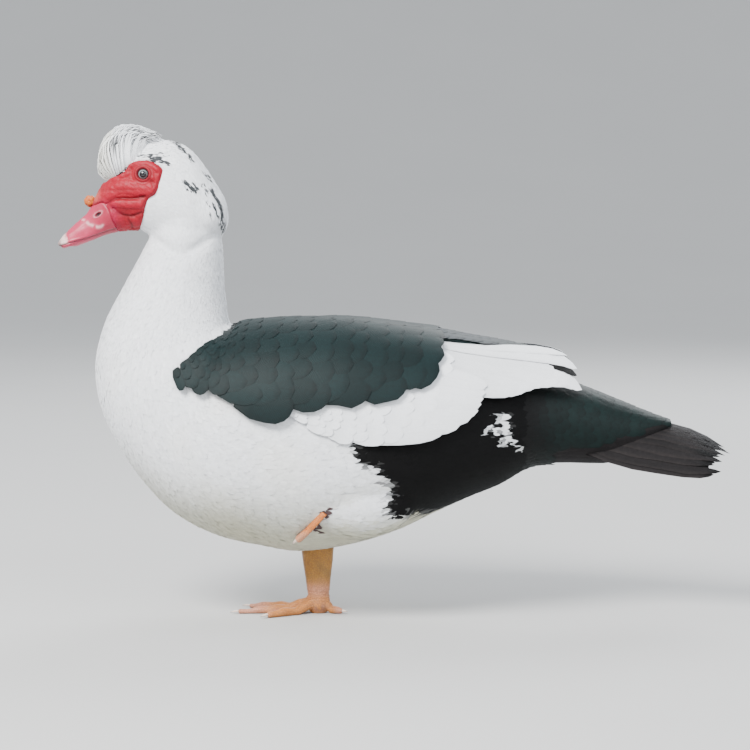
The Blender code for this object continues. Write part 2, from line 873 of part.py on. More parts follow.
def turn_a_little(item, centre):
    """Turn a ball about its centre, so that none of its edges runs along those of the head."""
    middle = Vector(centre) * MM
    turn = Matrix.Rotation(CREST_TURN, 4, Vector((0.3, 0.5, 0.8)).normalized())
    item.data.transform(Matrix.Translation(middle) @ turn @ Matrix.Translation(-middle))


def prism(name, outline, reach):
    """A block whose outline, seen from the side, is given as X, Z."""
    count = len(outline)
    points = [(x, side * reach, z) for side in (-1, 1) for x, z in outline]
    faces = [tuple(range(count)), tuple(range(count, 2 * count))]
    faces += [(i, (i + 1) % count, count + (i + 1) % count, count + i) for i in range(count)]
    return new_object(name, points, faces, "claw")


def dress_head(head):
    """The crest, and the hackles of the nape."""
    pieces = [make_crest()]
    for row, x in enumerate((-211, -198)):
        for k in range(2 + row):
            angle = (k - (1 + row) / 2) * (30 + 6 * row)
            root = head_surface(x, angle, -3.0)
            tip = head_surface(x + 20, angle * 0.9, 3.0) - Vector((0, 0, 6))
            bend = head_surface(x + 10, angle, 5.0)
            turn = math.radians(angle)
            out = Vector((0.5, -math.sin(turn), math.cos(turn)))
            pieces.append(lock(f"hackle_{row}_{k}", (root, bend, tip), 14, out))
    return fuse(head, pieces)


def wing_edges(along):
    """The angles round the trunk of the wing's upper and lower edge."""
    return smooth_row(WING_EDGES, along)


def wing_height(along, angle):
    """The lift of the wing's outer surface, which stands prouder towards the folded tip."""
    upper_share = 1 - ramp(abs(angle), 18, 55)
    rise = (7 + 12 * upper_share) * ramp(along, 62, 158)
    return WING_LIFT + WING_THICK + rise - 15 * ramp(along, 158, 202)


def wing_inner(along, angle):
    """The lift of the wing's under side."""
    return WING_LIFT + 0.5 * (wing_height(along, angle) - WING_LIFT - WING_THICK)


def mantle_inner(along, angle):
    """The under side of the mantle, which rests on the trunk and then on the wing."""
    front = ramp(along, WING_EDGES[0][0] - 45, WING_EDGES[0][0] - 24)
    upper = wing_edges(along)[0]
    over = front * ramp(abs(angle), upper - 17, upper - 9)
    breast = MANTLE_BREAST_RISE * (1 - ramp(along, -215, -170))
    return blend(MANTLE_LIFT, wing_height(along, angle) + MANTLE_OVER_WING, over) + breast


def mantle_outer(along, angle):
    """The upper side of the mantle."""
    return mantle_inner(along, angle) + MANTLE_THICK


def strip_outer(along, angle):
    """The upper side of the dark strip that runs on down the back between the wings."""
    ridge = smooth_row(STRIP_LIFTS, along)[0]
    return ridge * (1 - 0.12 * (angle / strip_angle(along)) ** 2)


def strip_angle(along):
    """The angle round the trunk of the dark strip's edge."""
    return wing_edges(along)[0] - 2.2


def shell(name, skin, columns, rows, turn_at, front_at, rear, inner, outer, look):
    """A plate on a skin between two lifts. turn_at(f, along) is the turn of the line a share
    f across it, front_at(f) is where that line starts, and rear is where they all end."""
    points = []
    for lift in (inner, outer):
        for k in range(columns):
            share = k / (columns - 1)
            for i in range(rows):
                along = blend(front_at(share), rear, i / (rows - 1))
                turn = turn_at(share, along)
                points.append(skin.place(along, turn, lift(along, turn)))
    layer = columns * rows
    faces = []
    for k in range(columns - 1):
        for i in range(rows - 1):
            for level in (0, layer):
                a = level + k * rows + i
                faces.append((a, a + 1, a + rows + 1))
                faces.append((a, a + rows + 1, a + rows))
    rim = list(range(rows))
    rim += [k * rows + rows - 1 for k in range(1, columns)]
    rim += [(columns - 1) * rows + i for i in range(rows - 2, -1, -1)]
    rim += [k * rows for k in range(columns - 2, 0, -1)]
    for a, b in zip(rim, rim[1:] + rim[:1]):
        faces.append((a, b, layer + b))
        faces.append((a, layer + b, layer + a))
    return new_object(name, points, faces, look)


def make_wing():
    """The left wing: a plate on the flank with its flight feathers and coverts in tiers."""
    plate = shell(
        "wing_left",
        TRUNK_SKIN,
        6,
        9,
        lambda f, along: blend(*wing_edges(along), f),
        lambda f: WING_EDGES[0][0],
        WING_EDGES[-1][0],
        wing_inner,
        wing_height,
        "white_feather",
    )
    pieces = []
    for tier, rows in enumerate((PRIMARIES, SECONDARIES, COVERTS)):
        for k, (root, tip, width, lift) in enumerate(rows):
            tip = (tip[0] + draw.uniform(-1.5, 1.5), tip[1])
            pieces.append(
                feather(
                    f"vane_{tier}_{k}",
                    TRUNK_SKIN,
                    root,
                    tip,
                    width,
                    (-0.8, lift),
                    (2.0, 1.2),
                    wing_height,
                    "white_feather",
                    0.7,
                    LONG_VANE if tier == 0 else ROUND_VANE,
                )
            )
    return fuse(plate, pieces)


def make_mantle():
    """The left half of the dark saddle: large feathers over the shoulder, and the strip."""
    plate = shell(
        "mantle_left",
        TRUNK_SKIN,
        6,
        9,
        lambda f, along: blend(0.25, smooth_row(MANTLE_EDGES, along)[0], f),
        lambda f: blend(*MANTLE_FRONT, ramp(f, 0.0, 0.7)),
        MANTLE_EDGES[-1][0],
        mantle_inner,
        mantle_outer,
        "green_feather",
    )
    strip = shell(
        "strip",
        TRUNK_SKIN,
        4,
        6,
        lambda f, along: blend(0.4, strip_angle(along), f),
        lambda f: STRIP_LIFTS[0][0],
        STRIP_LIFTS[-1][0],
        lambda along, angle: MANTLE_LIFT + 0.4,
        strip_outer,
        "green_feather",
    )
    pieces = [strip]
    for k, (tip, length, drop, width) in enumerate(SCAPULARS):
        root = (tip[0] - length, tip[1] - drop)
        pieces.append(
            feather(
                f"scapular_{k}",
                TRUNK_SKIN,
                root,
                tip,
                width,
                (-0.8, 1.8),
                (1.8, 1.2),
                mantle_outer,
                "green_feather",
                0.7,
            )
        )
    for k, tip in enumerate(((106, 7.5), (148, 6.5))):
        pieces.append(
            feather(
                f"strip_vane_{k}",
                TRUNK_SKIN,
                (tip[0] - 66, 8.0),
                tip,
                12,
                (-0.8, 1.4),
                (2.0, 2.0),
                strip_outer,
                "green_feather",
            )
        )
    return fuse(plate, pieces)


def flat(along, turn):
    """A base that lies in the skin itself."""
    return 0.0


def dress_tail(tail):
    """Tail feathers side by side on a low roof, with their upper and under coverts."""
    roof = shell(
        "roof",
        TAIL_SKIN,
        7,
        4,
        lambda f, along: blend(-0.97, 0.97, f),
        lambda f: TAIL[0][0] + 6,
        TAIL_PLATE_END,
        lambda along, turn: -TAIL_THICK,
        flat,
        "black_feather",
    )
    pieces = [roof]
    for side in (1, -1):
        for k in range(TAIL_PAIRS):
            share = (k + 0.5) / TAIL_PAIRS
            across = side * share
            reach = TAIL_TIP - 15 * share**2 - 6 * (k % 2) - draw.uniform(0, 3)
            pieces.append(
                feather(
                    f"rectrix_{k}_{side}",
                    TAIL_SKIN,
                    (TAIL[0][0] + 12, across),
                    (reach, across),
                    RECTRIX_WIDTH,
                    (-0.6, 1.2),
                    (1.0, TAIL_THICK - 0.6),
                    flat,
                    "black_feather",
                    0.5 * side,
                )
            )
    for row, (end, angles, width) in enumerate(TAIL_COVERTS):
        for k, angle in enumerate(angles):
            pieces.append(
                feather(
                    f"tail_covert_{row}_{k}",
                    TRUNK_SKIN,
                    (end - 54, angle),
                    (end, angle),
                    width,
                    (-0.8, 2.0),
                    (3.0, 2.5),
                    flat,
                    "green_feather",
                )
            )
    return fuse(tail, pieces)


def toe_path(base, yaw, length, lift, bend):
    """A toe from the knuckle to its tip on the floor. yaw is from straight ahead (-X)."""
    turn = math.radians(yaw)
    ahead = Vector((-math.cos(turn), math.sin(turn), 0))
    base = Vector(base)
    places = []
    for share, height in ((0.0, base.z), (0.2, bend), (0.42, lift), (0.7, lift), (1.0, lift - 0.6)):
        place = base + ahead * (length * share)
        place.z = height
        places.append(place)
    return places


def web(name, first, second, heights, look):
    """The skin between two toes, with its front edge drawn in."""
    rows = ((0.05, 0.0), (0.3, 0.05), (0.6, 0.06), (0.86, 0.12))

    def along(path, share):
        at = share * (len(path) - 1)
        i = min(int(at), len(path) - 2)
        return path[i].lerp(path[i + 1], at - i)

    points = []
    for share, inset in rows:
        a, b = along(first, share), along(second, share)
        m = (along(first, share - inset * 2.2 * share) + along(second, share - inset * 2.2 * share)) / 2
        height = blend(heights[0], heights[1], share)
        for p, drop in ((a, 0.0), (m, 0.5), (b, 0.0)):
            points.append(Vector((p.x, p.y, height - drop)))
    layer = len(points)
    points += [p + Vector((0, 0, WEB_THICK)) for p in points]
    faces = []
    for r in range(len(rows) - 1):
        for c in range(2):
            for level in (0, layer):
                i = level + 3 * r + c
                faces.append((i, i + 1, i + 4, i + 3))
    rim = [0, 1, 2, 5, 8, 11, 10, 9, 6, 3]
    for a, b in zip(rim, rim[1:] + rim[:1]):
        faces.append((a, b, layer + b, layer + a))
    return new_object(name, points, faces, look)


def claw(name, tip, ahead, length, radius, look="claw"):
    """A short, slightly hooked claw that starts clear of the toe's end."""
    tip, ahead = Vector(tip), Vector(ahead).normalized()
    path, radii = [], []
    for share, size in ((0.0, 1.0), (0.35, 0.85), (0.7, 0.5), (1.0, 0.12)):
        place = tip + ahead * (GAP + length * share)
        place.z += radius * (0.5 * share - 0.9 * share * share)
        path.append(place)
        radii.append(radius * size)
    return tube(name, path, radii, look, 6)


def make_right_leg():
    """The leg that the bird stands on: shank, webbed foot and claws."""
    hock, knuckle = Vector(HOCK), Vector(KNUCKLE)
    foot_top = knuckle + (hock - knuckle) * 0.13
    path = [hock.lerp(foot_top, t) for t in (0.0, 0.25, 0.5, 0.78, 1.0)]
    shank = oval_limb("leg_right", path, ((17, 12), (17, 12), (15.5, 10), (13, 8.4), (11.5, 9)))
    toes = {
        "inner": toe_path(knuckle, FOOT_YAW * -1 - 27, 62, 4.1, 9),
        "middle": toe_path(knuckle, -FOOT_YAW, 84, 4.1, 10),
        "outer": toe_path(knuckle, -FOOT_YAW + 26, 78, 4.1, 9),
    }
    pieces = []
    for key, path in toes.items():
        radii = [6.0, TOE_RADIUS + 0.4, TOE_RADIUS, TOE_RADIUS - 0.3, TOE_RADIUS - 1.3]
        pieces.append(tube(f"toe_{key}", path, radii, "orange_skin", 8, 1.0))
    pieces.append(web("web_inner", toes["inner"], toes["middle"], (5.5, 1.0), "orange_skin"))
    pieces.append(web("web_outer", toes["middle"], toes["outer"], (5.5, 1.0), "orange_skin"))
    spur = toe_path(knuckle + Vector((6, -2, 0)), 180 + 28, 21, 4.0, 8)
    pieces.append(tube("toe_hind", spur, [5.0, 4.4, 3.9, 3.6, 2.6], "orange_skin", 8))
    joint_path = [
        knuckle + (hock - knuckle).normalized() * 8.9,
        knuckle + (hock - knuckle).normalized() * 3,
        knuckle + Vector((0, 0, -6)),
        knuckle + Vector((0, 0, -14)),
    ]
    foot = oval_limb("foot_right", joint_path, ((10.6, 9), (11.5, 10), (12, 11), (8, 8)))
    fuse(foot, pieces)
    floor = box("floor_cut", (-400, -200, -80), (200, 200, 0))
    carve(foot, [floor], "MANIFOLD")
    toes["hind"] = spur
    for key, path in toes.items():
        ahead = (path[-1] - path[-2]) * Vector((1, 1, 0))
        length, radius = (6.5, 1.8) if key == "hind" else (9, 2.2)
        claw(f"claw_right_{key}", path[-1] + Vector((0, 0, 0.3)), ahead, length, radius)
    return shank


def oval_limb(name, path, radii):
    """A limb of oval section: radii are (fore and aft, side to side) at each point."""
    path = [Vector(p) for p in path]
    rings = []
    for k, here in enumerate(path):
        ahead = (path[min(k + 1, len(path) - 1)] - path[max(k - 1, 0)]).normalized()
        fore = Vector((1, 0, 0)) - ahead * ahead.x
        fore.normalize()
        side = ahead.cross(fore).normalized()
        ring = []
        for i in range(12):
            turn = 2 * math.pi * i / 12
            ring.append(
                here
                + fore * (radii[k][0] * math.cos(turn))
                + side * (radii[k][1] * math.sin(turn))
            )
        rings.append(ring)
    return loft(name, rings, "orange_skin")


def box(name, low, high):
    """A plain block between two corners."""
    points = [(x, y, z) for x in (low[0], high[0]) for y in (low[1], high[1]) for z in (low[2], high[2])]
    faces = ((0, 1, 3, 2), (4, 6, 7, 5), (0, 4, 5, 1), (2, 3, 7, 6), (0, 2, 6, 4), (1, 5, 7, 3))
    return new_object(name, points, faces, "claw")


def folded_foot(name, extra):
    """The drawn-up foot's toes, thicker than life by extra, and where each toe ends."""
    places = {
        "outer": ((-72, 129, -3.2), (-80, 133, 0.5), (-90, 138.5, 2.6), (-101, 144, 3.2)),
        "middle": ((-66, 131.5, -3.2), (-72, 137, 0.8), (-82, 143, 2.6), (-93, 149, 3.0)),
        "inner": ((-61, 134.5, -4.5), (-65, 141, -0.5), (-72, 147.5, 1.6), (-81, 153, 2.0)),
    }
    pieces, ends = [], {}
    for key, line in places.items():
        path = [TRUNK_SKIN.place(*p) for p in line]
        ends[key] = (path[-1], path[-1] - path[-2])
        radii = [size + extra for size in (5.4, 4.9, 4.5, 3.3)]
        pieces.append(tube(f"folded_{key}", path, radii, "orange_skin", 8))
    core = [TRUNK_SKIN.place(*p) for p in ((-62, 129, -9), (-68, 134.3, -4.1), (-78, 142, -3))]
    radii = [size + extra for size in (7.5, 8.0, 5.5)]
    foot = tube(name, core, radii, "orange_skin", 9)
    return fuse(foot, pieces), ends


def make_left_leg():
    """The drawn-up foot, a short length of shank and three claws. It gives back the shapes that
    their bed in the belly feathers is cut with."""
    _, ends = folded_foot("foot_left", 0.0)
    bed, _ = folded_foot("foot_bed", 2 * GAP)
    bend = [TRUNK_SKIN.place(*p) for p in ((-62, 128.4, -9.6), (-46, 123, -7.5), (-28, 117, -7.5))]
    shank = tube("leg_left", bend, [7.2, 6.6, 6.8], "orange_skin", 8)
    beds = [bed, grown(shank)]
    carve(shank, [copy_of(bed, "foot_gap")])
    claws = [claw(f"claw_left_{key}", *end, 8.0, 2.1) for key, end in ends.items()]
    return beds + [grown(item, 1.5 * GAP) for item in claws]


def carve_nostrils(bill):
    """A shallow oval pit on each side of the bill."""
    cutters = []
    for side in (1, -1):
        centre = (NOSTRIL[0], side * NOSTRIL[1], NOSTRIL[2])
        cutters.append(ball("nostril", centre, NOSTRIL_RADII, "pink_bill", 10, 6))
    return carve(bill, cutters, "MANIFOLD")


def shade(item):
    """Smooth shading with crisp creases."""
    item.data.shade_smooth()
    item.data.set_sharp_from_angle(angle=math.radians(38))


def main():
    clear_scene()
    body = make_trunk()
    head, cast = make_head()
    dress_face(head["face"])
    for name, side in (("eye_left", 1), ("eye_right", -1)):
        eye_ball(name, side, EYE_RADIUS)
    knob = ball("bill_knob", KNOB, KNOB_RADII, "orange_knob", 12, 7)
    carve(knob, [grown(head["bill_upper"])])
    carve(knob, [grown(head["face"])])
    carve_nostrils(head["bill_upper"])
    carve(body["neck"], [cast])
    dress_head(head["head"])
    wing = make_wing()
    mirrored(wing, "wing_right")
    mantle = make_mantle()
    mirrored(mantle, "mantle_right")
    dress_tail(body["tail"])
    leg_right = make_right_leg()
    carve(body["torso"], [grown(leg_right), *make_left_leg()], "MANIFOLD")
    for item in bpy.data.objects:
        shade(item)


main()
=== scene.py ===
"""Looks of a life-size still model of a pied male muscovy duck that stands on one foot.

The bird faces -X, its left side is towards -Y, +Z is up, and the floor is at Z = 0. Tables and
sizes are in millimetres and angles in degrees, and meshes are made in metres.

A place on the body, neck and tail root is (along, turn, lift). Along is the X of a section of
the body and goes on counting up the neck, turn is the angle from the back (0) over the left
side (90) to the belly (180), and lift is the height above the surface. A place on the head is
(x, turn), with the turn counted from the crown over the left side.
"""

import logging
import math
from dataclasses import dataclass, field
from enum import Enum
from typing import Callable

import bmesh
import bpy
import numpy as np
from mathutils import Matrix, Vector
from mathutils.bvhtree import BVHTree

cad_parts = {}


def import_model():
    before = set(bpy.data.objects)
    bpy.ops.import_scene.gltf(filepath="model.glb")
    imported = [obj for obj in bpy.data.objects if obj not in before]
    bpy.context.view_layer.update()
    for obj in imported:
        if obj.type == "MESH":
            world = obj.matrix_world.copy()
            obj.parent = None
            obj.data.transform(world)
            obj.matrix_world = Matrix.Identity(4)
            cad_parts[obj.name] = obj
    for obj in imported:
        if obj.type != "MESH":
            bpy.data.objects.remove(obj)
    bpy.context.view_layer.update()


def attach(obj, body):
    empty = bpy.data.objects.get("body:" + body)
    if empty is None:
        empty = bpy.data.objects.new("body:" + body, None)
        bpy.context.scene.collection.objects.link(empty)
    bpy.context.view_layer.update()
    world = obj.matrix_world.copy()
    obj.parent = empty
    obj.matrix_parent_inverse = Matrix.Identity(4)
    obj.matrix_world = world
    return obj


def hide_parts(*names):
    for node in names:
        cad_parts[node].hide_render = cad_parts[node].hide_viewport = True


MM = 0.001
LOG = logging.getLogger("duck")

Array = np.ndarray
Rows = tuple[tuple[float, ...], ...]
Colour = tuple[float, float, float]
Item = bpy.types.Object
Look = bpy.types.Material
Socket = bpy.types.NodeSocket

# Each row of the trunk is one section: along, back X, back Z, belly X, belly Z, half width,
# and the exponent of its outline.
TRUNK: Rows = (
    (-390, -188, 408, -246, 415, 29, 2.0),
    (-365, -180, 385, -257.5, 393, 37, 2.0),
    (-340, -178, 362, -269.5, 371, 43, 2.0),
    (-315, -177, 342, -287, 340, 50, 2.0),
    (-290, -175, 325, -306, 302, 60, 2.0),
    (-265, -174, 314, -315, 256, 70, 2.1),
    (-240, -173, 308, -305, 206, 80, 2.1),
    (-215, -171, 304, -276, 154, 88, 2.2),
    (-190, -168, 302, -236, 109, 95, 2.2),
    (-165, -160, 302, -190, 83, 100, 2.2),
    (-140, -140, 304, -140, 71, 103, 2.2),
    (-100, -100, 306, -100, 65.5, 106, 2.2),
    (-50, -50, 304, -50, 72, 106, 2.2),
    (0, 0, 298, 0, 87, 103, 2.2),
    (40, 40, 291, 40, 106, 97, 2.2),
    (75, 75, 281, 75, 122, 87, 2.2),
    (110, 110, 270, 110, 136, 72, 2.1),
    (142, 142, 258, 142, 154, 56, 2.1),
    (170, 170, 248, 170, 158, 49, 2.1),
    (200, 200, 237, 200, 158, 43, 2.1),
    (230, 230, 225, 230, 160, 35, 2.1),
    (262, 262, 212, 262, 178, 24, 2.1),
    (286, 286, 203, 286, 194, 11, 2.0),
)
# Each row of the head is one section: X, top Z, bottom Z, Z of its widest place, half width.
HEAD: Rows = (
    (-350, 389, 383.5, 386, 3.5),
    (-346, 394.5, 381, 386.5, 9),
    (-338, 403, 383, 389, 11.5),
    (-328, 412, 386.5, 394, 12),
    (-319, 421, 390, 398, 12.2),
    (-311, 437, 393, 404, 13.5),
    (-304, 449, 396, 411, 15.5),
    (-295, 458, 398.5, 419, 18.5),
    (-282, 471, 401, 428, 22),
    (-268, 483.5, 401, 435, 24.5),
    (-255, 491.5, 395, 436, 27),
    (-240, 495.5, 386, 430, 31),
    (-224, 493, 381, 423, 34),
    (-208, 481.5, 382, 419, 33.5),
    (-194, 463, 389, 419, 28),
    (-184, 446, 397, 420, 20),
    (-177, 430, 407, 419, 9),
)
# Seams of the head, seen from the side as X, Z.
MOUTH_LINE: Rows = (
    (-358, 383.5), (-346, 386), (-318, 394), (-298, 401.2), (-280, 406), (-262, 408),
)
BILL_LINE: Rows = (
    (-340, 432), (-326, 426.5), (-314, 427), (-303, 430), (-296, 421), (-292, 410), (-288, 400),
    (-284, 385),
)
MASK_LINE: Rows = (
    (-320, 462), (-304, 451.5), (-294, 455.5), (-284.5, 459), (-279.5, 463.5), (-275.6, 469),
    (-267.7, 473.2), (-257.5, 473.8), (-249, 470.8), (-241.8, 465.8), (-241.6, 461),
    (-244.2, 452), (-248.2, 440.5), (-255.8, 434.7), (-259.6, 425.4), (-261.2, 417.5),
    (-264, 408.2), (-267, 400), (-269, 380),
)
EYE = (-260.0, -17.6, 459.4)
KNOB = (-317.5, 0.0, 431.5)
# The tail's roof: X, ridge Z, edge Z, half width.
TAIL: Rows = (
    (184, 232, 170, 33),
    (215, 219, 161, 39),
    (250, 208, 155, 45),
    (285, 200, 151.5, 49),
    (318, 189, 150.5, 50),
    (350, 168, 150, 43),
)
# Upper and lower edge of the wing, as along and two turns.
WING_EDGES: Rows = (
    (-105, 30, 72),
    (-71, 30, 80),
    (-32, 30, 88),
    (10, 30, 90),
    (35, 27, 90),
    (57, 23.5, 84),
    (76, 21.5, 73),
    (92, 19.5, 60),
    (134, 15.5, 48),
)
# Lower edge of the dark saddle, as along and turn.
SADDLE_EDGE: Rows = (
    (-244, 76), (-228, 81), (-212, 77), (-192, 66), (-160, 59), (-129, 63), (-103, 68.5),
    (-69, 63), (-17, 62), (30, 60), (48, 52),
)
SADDLE_FRONT = (-190.0, -237.0)
STRIP_RIDGE: Rows = ((24, 6.0), (50, 9.0), (75, 11.5), (110, 16.5), (146, 21.5))
WING_LIFT = 1.9
WING_THICK = 4.0
SADDLE_LIFT = 2.1
SADDLE_THICK = 3.2
# Seen from the side, the line where the pale front of the body meets the black rump.
RUMP_LINE: Rows = ((-55, 340), (-55, 178), (-15, 141), (-22, 116), (4, 104), (60, 109), (75, 60))


class Slot(Enum):
    """The record's material slots."""

    BODY = "body_feathers"
    RUMP = "rump_feathers"
    WING = "wing_feathers"
    SADDLE = "mantle_feathers"
    TAIL = "tail_feathers"
    FACE = "face_skin"
    BILL = "bill"
    KNOB = "knob"
    EYE = "eye"
    LEG = "leg_skin"
    CLAW = "claw"


def ramp(value: Array | float, start: float, end: float) -> Array:
    """A smooth rise from 0 at start to 1 at end."""
    share = np.clip((np.asarray(value, float) - start) / (end - start), 0, 1)
    return share * share * (3 - 2 * share)


def bell(value: Array, centre: float, width: float) -> Array:
    """A rise to 1 at a centre, which falls off over a width on both sides of it."""
    return np.exp(-(((value - centre) / width) ** 2))


def spot(x: Array, z: Array, centre: tuple[float, float], radii: tuple[float, float]) -> Array:
    """A rise to 1 at a place seen from the side, which falls off over the radii round it."""
    return np.exp(-(((x - centre[0]) / radii[0]) ** 2 + ((z - centre[1]) / radii[1]) ** 2))


def blend(low: Array | float, high: Array | float, share: Array | float) -> Array:
    """The value a share of the way from low to high."""
    return low + (high - low) * share


def washed(colours: Array, tint: Array | Colour, share: Array) -> Array:
    """Colours of points with a tint laid over them, by a share for each point."""
    return blend(colours, np.asarray(tint), share[:, None])


def unit(vectors: Array) -> Array:
    """Vectors of length 1."""
    return vectors / np.maximum(np.linalg.norm(vectors, axis=-1, keepdims=True), 1e-9)


def smooth_rows(rows: Rows, at: Array | float) -> Array:
    """Rows at values of the first column, on smooth curves through all of them.

    Args:
        rows: The table, with a rising first column.
        at: Values of the first column, of any shape.

    Returns:
        The other columns, as one more axis at the end.
    """
    table = np.asarray(rows, float)
    places = table[:, 0]
    at = np.clip(np.asarray(at, float), places[0], places[-1])
    here = np.clip(np.searchsorted(places, at, side="right") - 1, 0, len(places) - 2)
    before, after = np.maximum(here - 1, 0), here + 1
    beyond = np.minimum(here + 2, len(places) - 1)
    span = (places[after] - places[here])[..., None]
    t = (at - places[here])[..., None] / span
    values = table[:, 1:]
    slope_in = (values[after] - values[before]) / (places[after] - places[before])[..., None]
    slope_out = (values[beyond] - values[here]) / (places[beyond] - places[here])[..., None]
    return (
        (2 * t**3 - 3 * t**2 + 1) * values[here]
        + (t**3 - 2 * t**2 + t) * slope_in * span
        + (3 * t**2 - 2 * t**3) * values[after]
        + (t**3 - t**2) * slope_out * span
    )


def rounded(line: Rows, parts: int = 6) -> Rows:
    """A line with its corners rounded off, as more points on a smooth curve through it."""
    table = np.array([(k, *point) for k, point in enumerate(line)], float)
    at = np.linspace(0, len(line) - 1, parts * (len(line) - 1) + 1)
    return tuple(map(tuple, smooth_rows(table, at)))


MASK_EDGE = rounded(MASK_LINE)
BILL_EDGE = rounded(BILL_LINE)


def trunk(along: Array, turn: Array) -> Array:
    """Points on the trunk's surface."""
    along, turn = np.broadcast_arrays(np.asarray(along, float), np.asarray(turn, float))
    row = smooth_rows(TRUNK, along)
    back = np.stack([row[..., 0], 0 * row[..., 0], row[..., 1]], -1)
    belly = np.stack([row[..., 2], 0 * row[..., 0], row[..., 3]], -1)
    half_depth = np.linalg.norm(back - belly, axis=-1) / 2
    up = unit(back - belly)
    cosine, sine = np.cos(np.radians(turn)), np.sin(np.radians(turn))
    power = row[..., 5]
    reach = np.abs(cosine / half_depth) ** power + np.abs(sine / row[..., 4]) ** power
    reach = reach ** (-1 / power)
    point = (back + belly) / 2 + up * (reach * cosine)[..., None]
    point[..., 1] -= reach * sine
    return point


def head(x: Array, turn: Array) -> Array:
    """Points on the head's surface."""
    x, turn = np.broadcast_arrays(np.asarray(x, float), np.asarray(turn, float))
    row = smooth_rows(HEAD, x)
    cosine, sine = np.cos(np.radians(turn)), np.sin(np.radians(turn))
    height = np.where(cosine > 0, row[..., 0] - row[..., 2], row[..., 2] - row[..., 1])
    reach = ((cosine / height) ** 2 + (sine / row[..., 3]) ** 2) ** -0.5
    return np.stack([x, -reach * sine, row[..., 2] + reach * cosine], -1)


def tail_roof(x: Array, across: Array) -> Array:
    """Points on the tail's roof. Across goes from 1 at the left edge to -1 at the right."""
    x, across = np.broadcast_arrays(np.asarray(x, float), np.asarray(across, float))
    row = smooth_rows(TAIL, x)
    drop = (row[..., 0] - row[..., 1]) * np.abs(across) ** 1.7
    return np.stack([x, -across * row[..., 2], row[..., 0] - drop], -1)


Surface = Callable[[Array, Array], Array]


@dataclass(frozen=True)
class Hide:
    """A surface with two coordinates, on which feathers lie at a lift."""

    surface: Surface
    last_along: float
    turn_step: float

    def normal(self, along: Array, turn: Array) -> Array:
        """Outward normals of the surface."""
        run, side = self.steps(along, turn)
        return unit(np.cross(side, run))

    def steps(self, along: Array, turn: Array) -> tuple[Array, Array]:
        """How far a small step of each coordinate goes."""
        at = np.minimum(along, self.last_along - 1)
        run = self.surface(at + 1, turn) - self.surface(at - 1, turn)
        step = self.turn_step
        side = self.surface(along, turn + step) - self.surface(along, turn - step)
        return run, side

    def place(self, along: Array, turn: Array, lift: Array | float) -> Array:
        """Points at a lift above the surface."""
        out = self.normal(along, turn) * np.asarray(lift, float)[..., None]
        return self.surface(along, turn) + out

    def scale(self, along: Array, turn: Array) -> tuple[Array, Array]:
        """Millimetres for each unit of the two coordinates."""
        run, side = self.steps(along, turn)
        lengths = np.linalg.norm(run, axis=-1) / 2, np.linalg.norm(side, axis=-1)
        return lengths[0], lengths[1] / (2 * self.turn_step)


TRUNK_HIDE = Hide(trunk, TRUNK[-1][0], 1.0)
HEAD_HIDE = Hide(head, HEAD[-1][0], 1.0)
TAIL_HIDE = Hide(tail_roof, TAIL[-1][0], 0.02)


def wing_edge(along: Array, which: int) -> Array:
    """The turn of the wing's upper (0) or lower (1) edge."""
    return smooth_rows(WING_EDGES, along)[..., which]


def wing_height(along: Array, turn: Array) -> Array:
    """The lift of the wing's outer surface, which stands prouder towards the folded tip."""
    upper = 1 - ramp(np.abs(turn), 18, 55)
    rise = (7 + 12 * upper) * ramp(along, 62, 158)
    front = ramp(along, -108, -50)
    low = ramp(wing_edge(along, 1) - np.abs(turn), -2, 14)
    front = front * blend(low, 1.0, ramp(along, -50, -5))
    thick = blend(1.0, WING_LIFT + WING_THICK, front)
    return thick + rise - 15 * ramp(along, 158, 202)


def wing_inner(along: Array, turn: Array) -> Array:
    """The lift of the wing's under side."""
    return WING_LIFT + 0.5 * (wing_height(along, turn) - WING_LIFT - WING_THICK)


def saddle_front(turn: Array) -> Array:
    """Where the saddle starts, which is further forward on the shoulders than on the back."""
    return blend(SADDLE_FRONT[0], SADDLE_FRONT[1], ramp(np.abs(turn), 6, 54))


def saddle_inner(along: Array, turn: Array) -> Array:
    """The under side of the saddle, which rests on the trunk and then on the wing."""
    front = ramp(along, WING_EDGES[0][0] - 45, WING_EDGES[0][0] - 24)
    upper = wing_edge(along, 0)
    over = front * ramp(np.abs(turn) - upper, -26, -9)
    full = blend(SADDLE_LIFT, wing_height(along, turn) + 2.5, over)
    return blend(1.0 - SADDLE_THICK, full, ramp(along - saddle_front(turn), -2, 30))


def saddle_outer(along: Array, turn: Array) -> Array:
    """The upper side of the saddle."""
    return saddle_inner(along, turn) + SADDLE_THICK


def strip_turn(along: Array) -> Array:
    """The turn of the edge of the dark strip along the back."""
    return wing_edge(along, 0) - 2.2


def strip_outer(along: Array, turn: Array) -> Array:
    """The upper side of the dark strip between the wings."""
    ridge = smooth_rows(STRIP_RIDGE, along)[..., 0]
    return ridge * (1 - 0.12 * (turn / strip_turn(along)) ** 2)


def flat(along: Array, turn: Array) -> Array:
    """A base that lies in the surface itself."""
    return 0.0 * (along + turn)


def covert_base(along: Array, turn: Array) -> Array:
    """The lift of what the wing's coverts lie on."""
    return wing_height(along, turn) + 0.9


def tail_base(along: Array, turn: Array) -> Array:
    """The lift of what the tail's coverts lie on, which is deeper in front."""
    return 0 * turn - 2.6 * (1 - ramp(along, 118, 165))


def saddle_edge(along: Array) -> Array:
    """The turn of the saddle's lower edge."""
    return smooth_rows(SADDLE_EDGE, along)[..., 0]


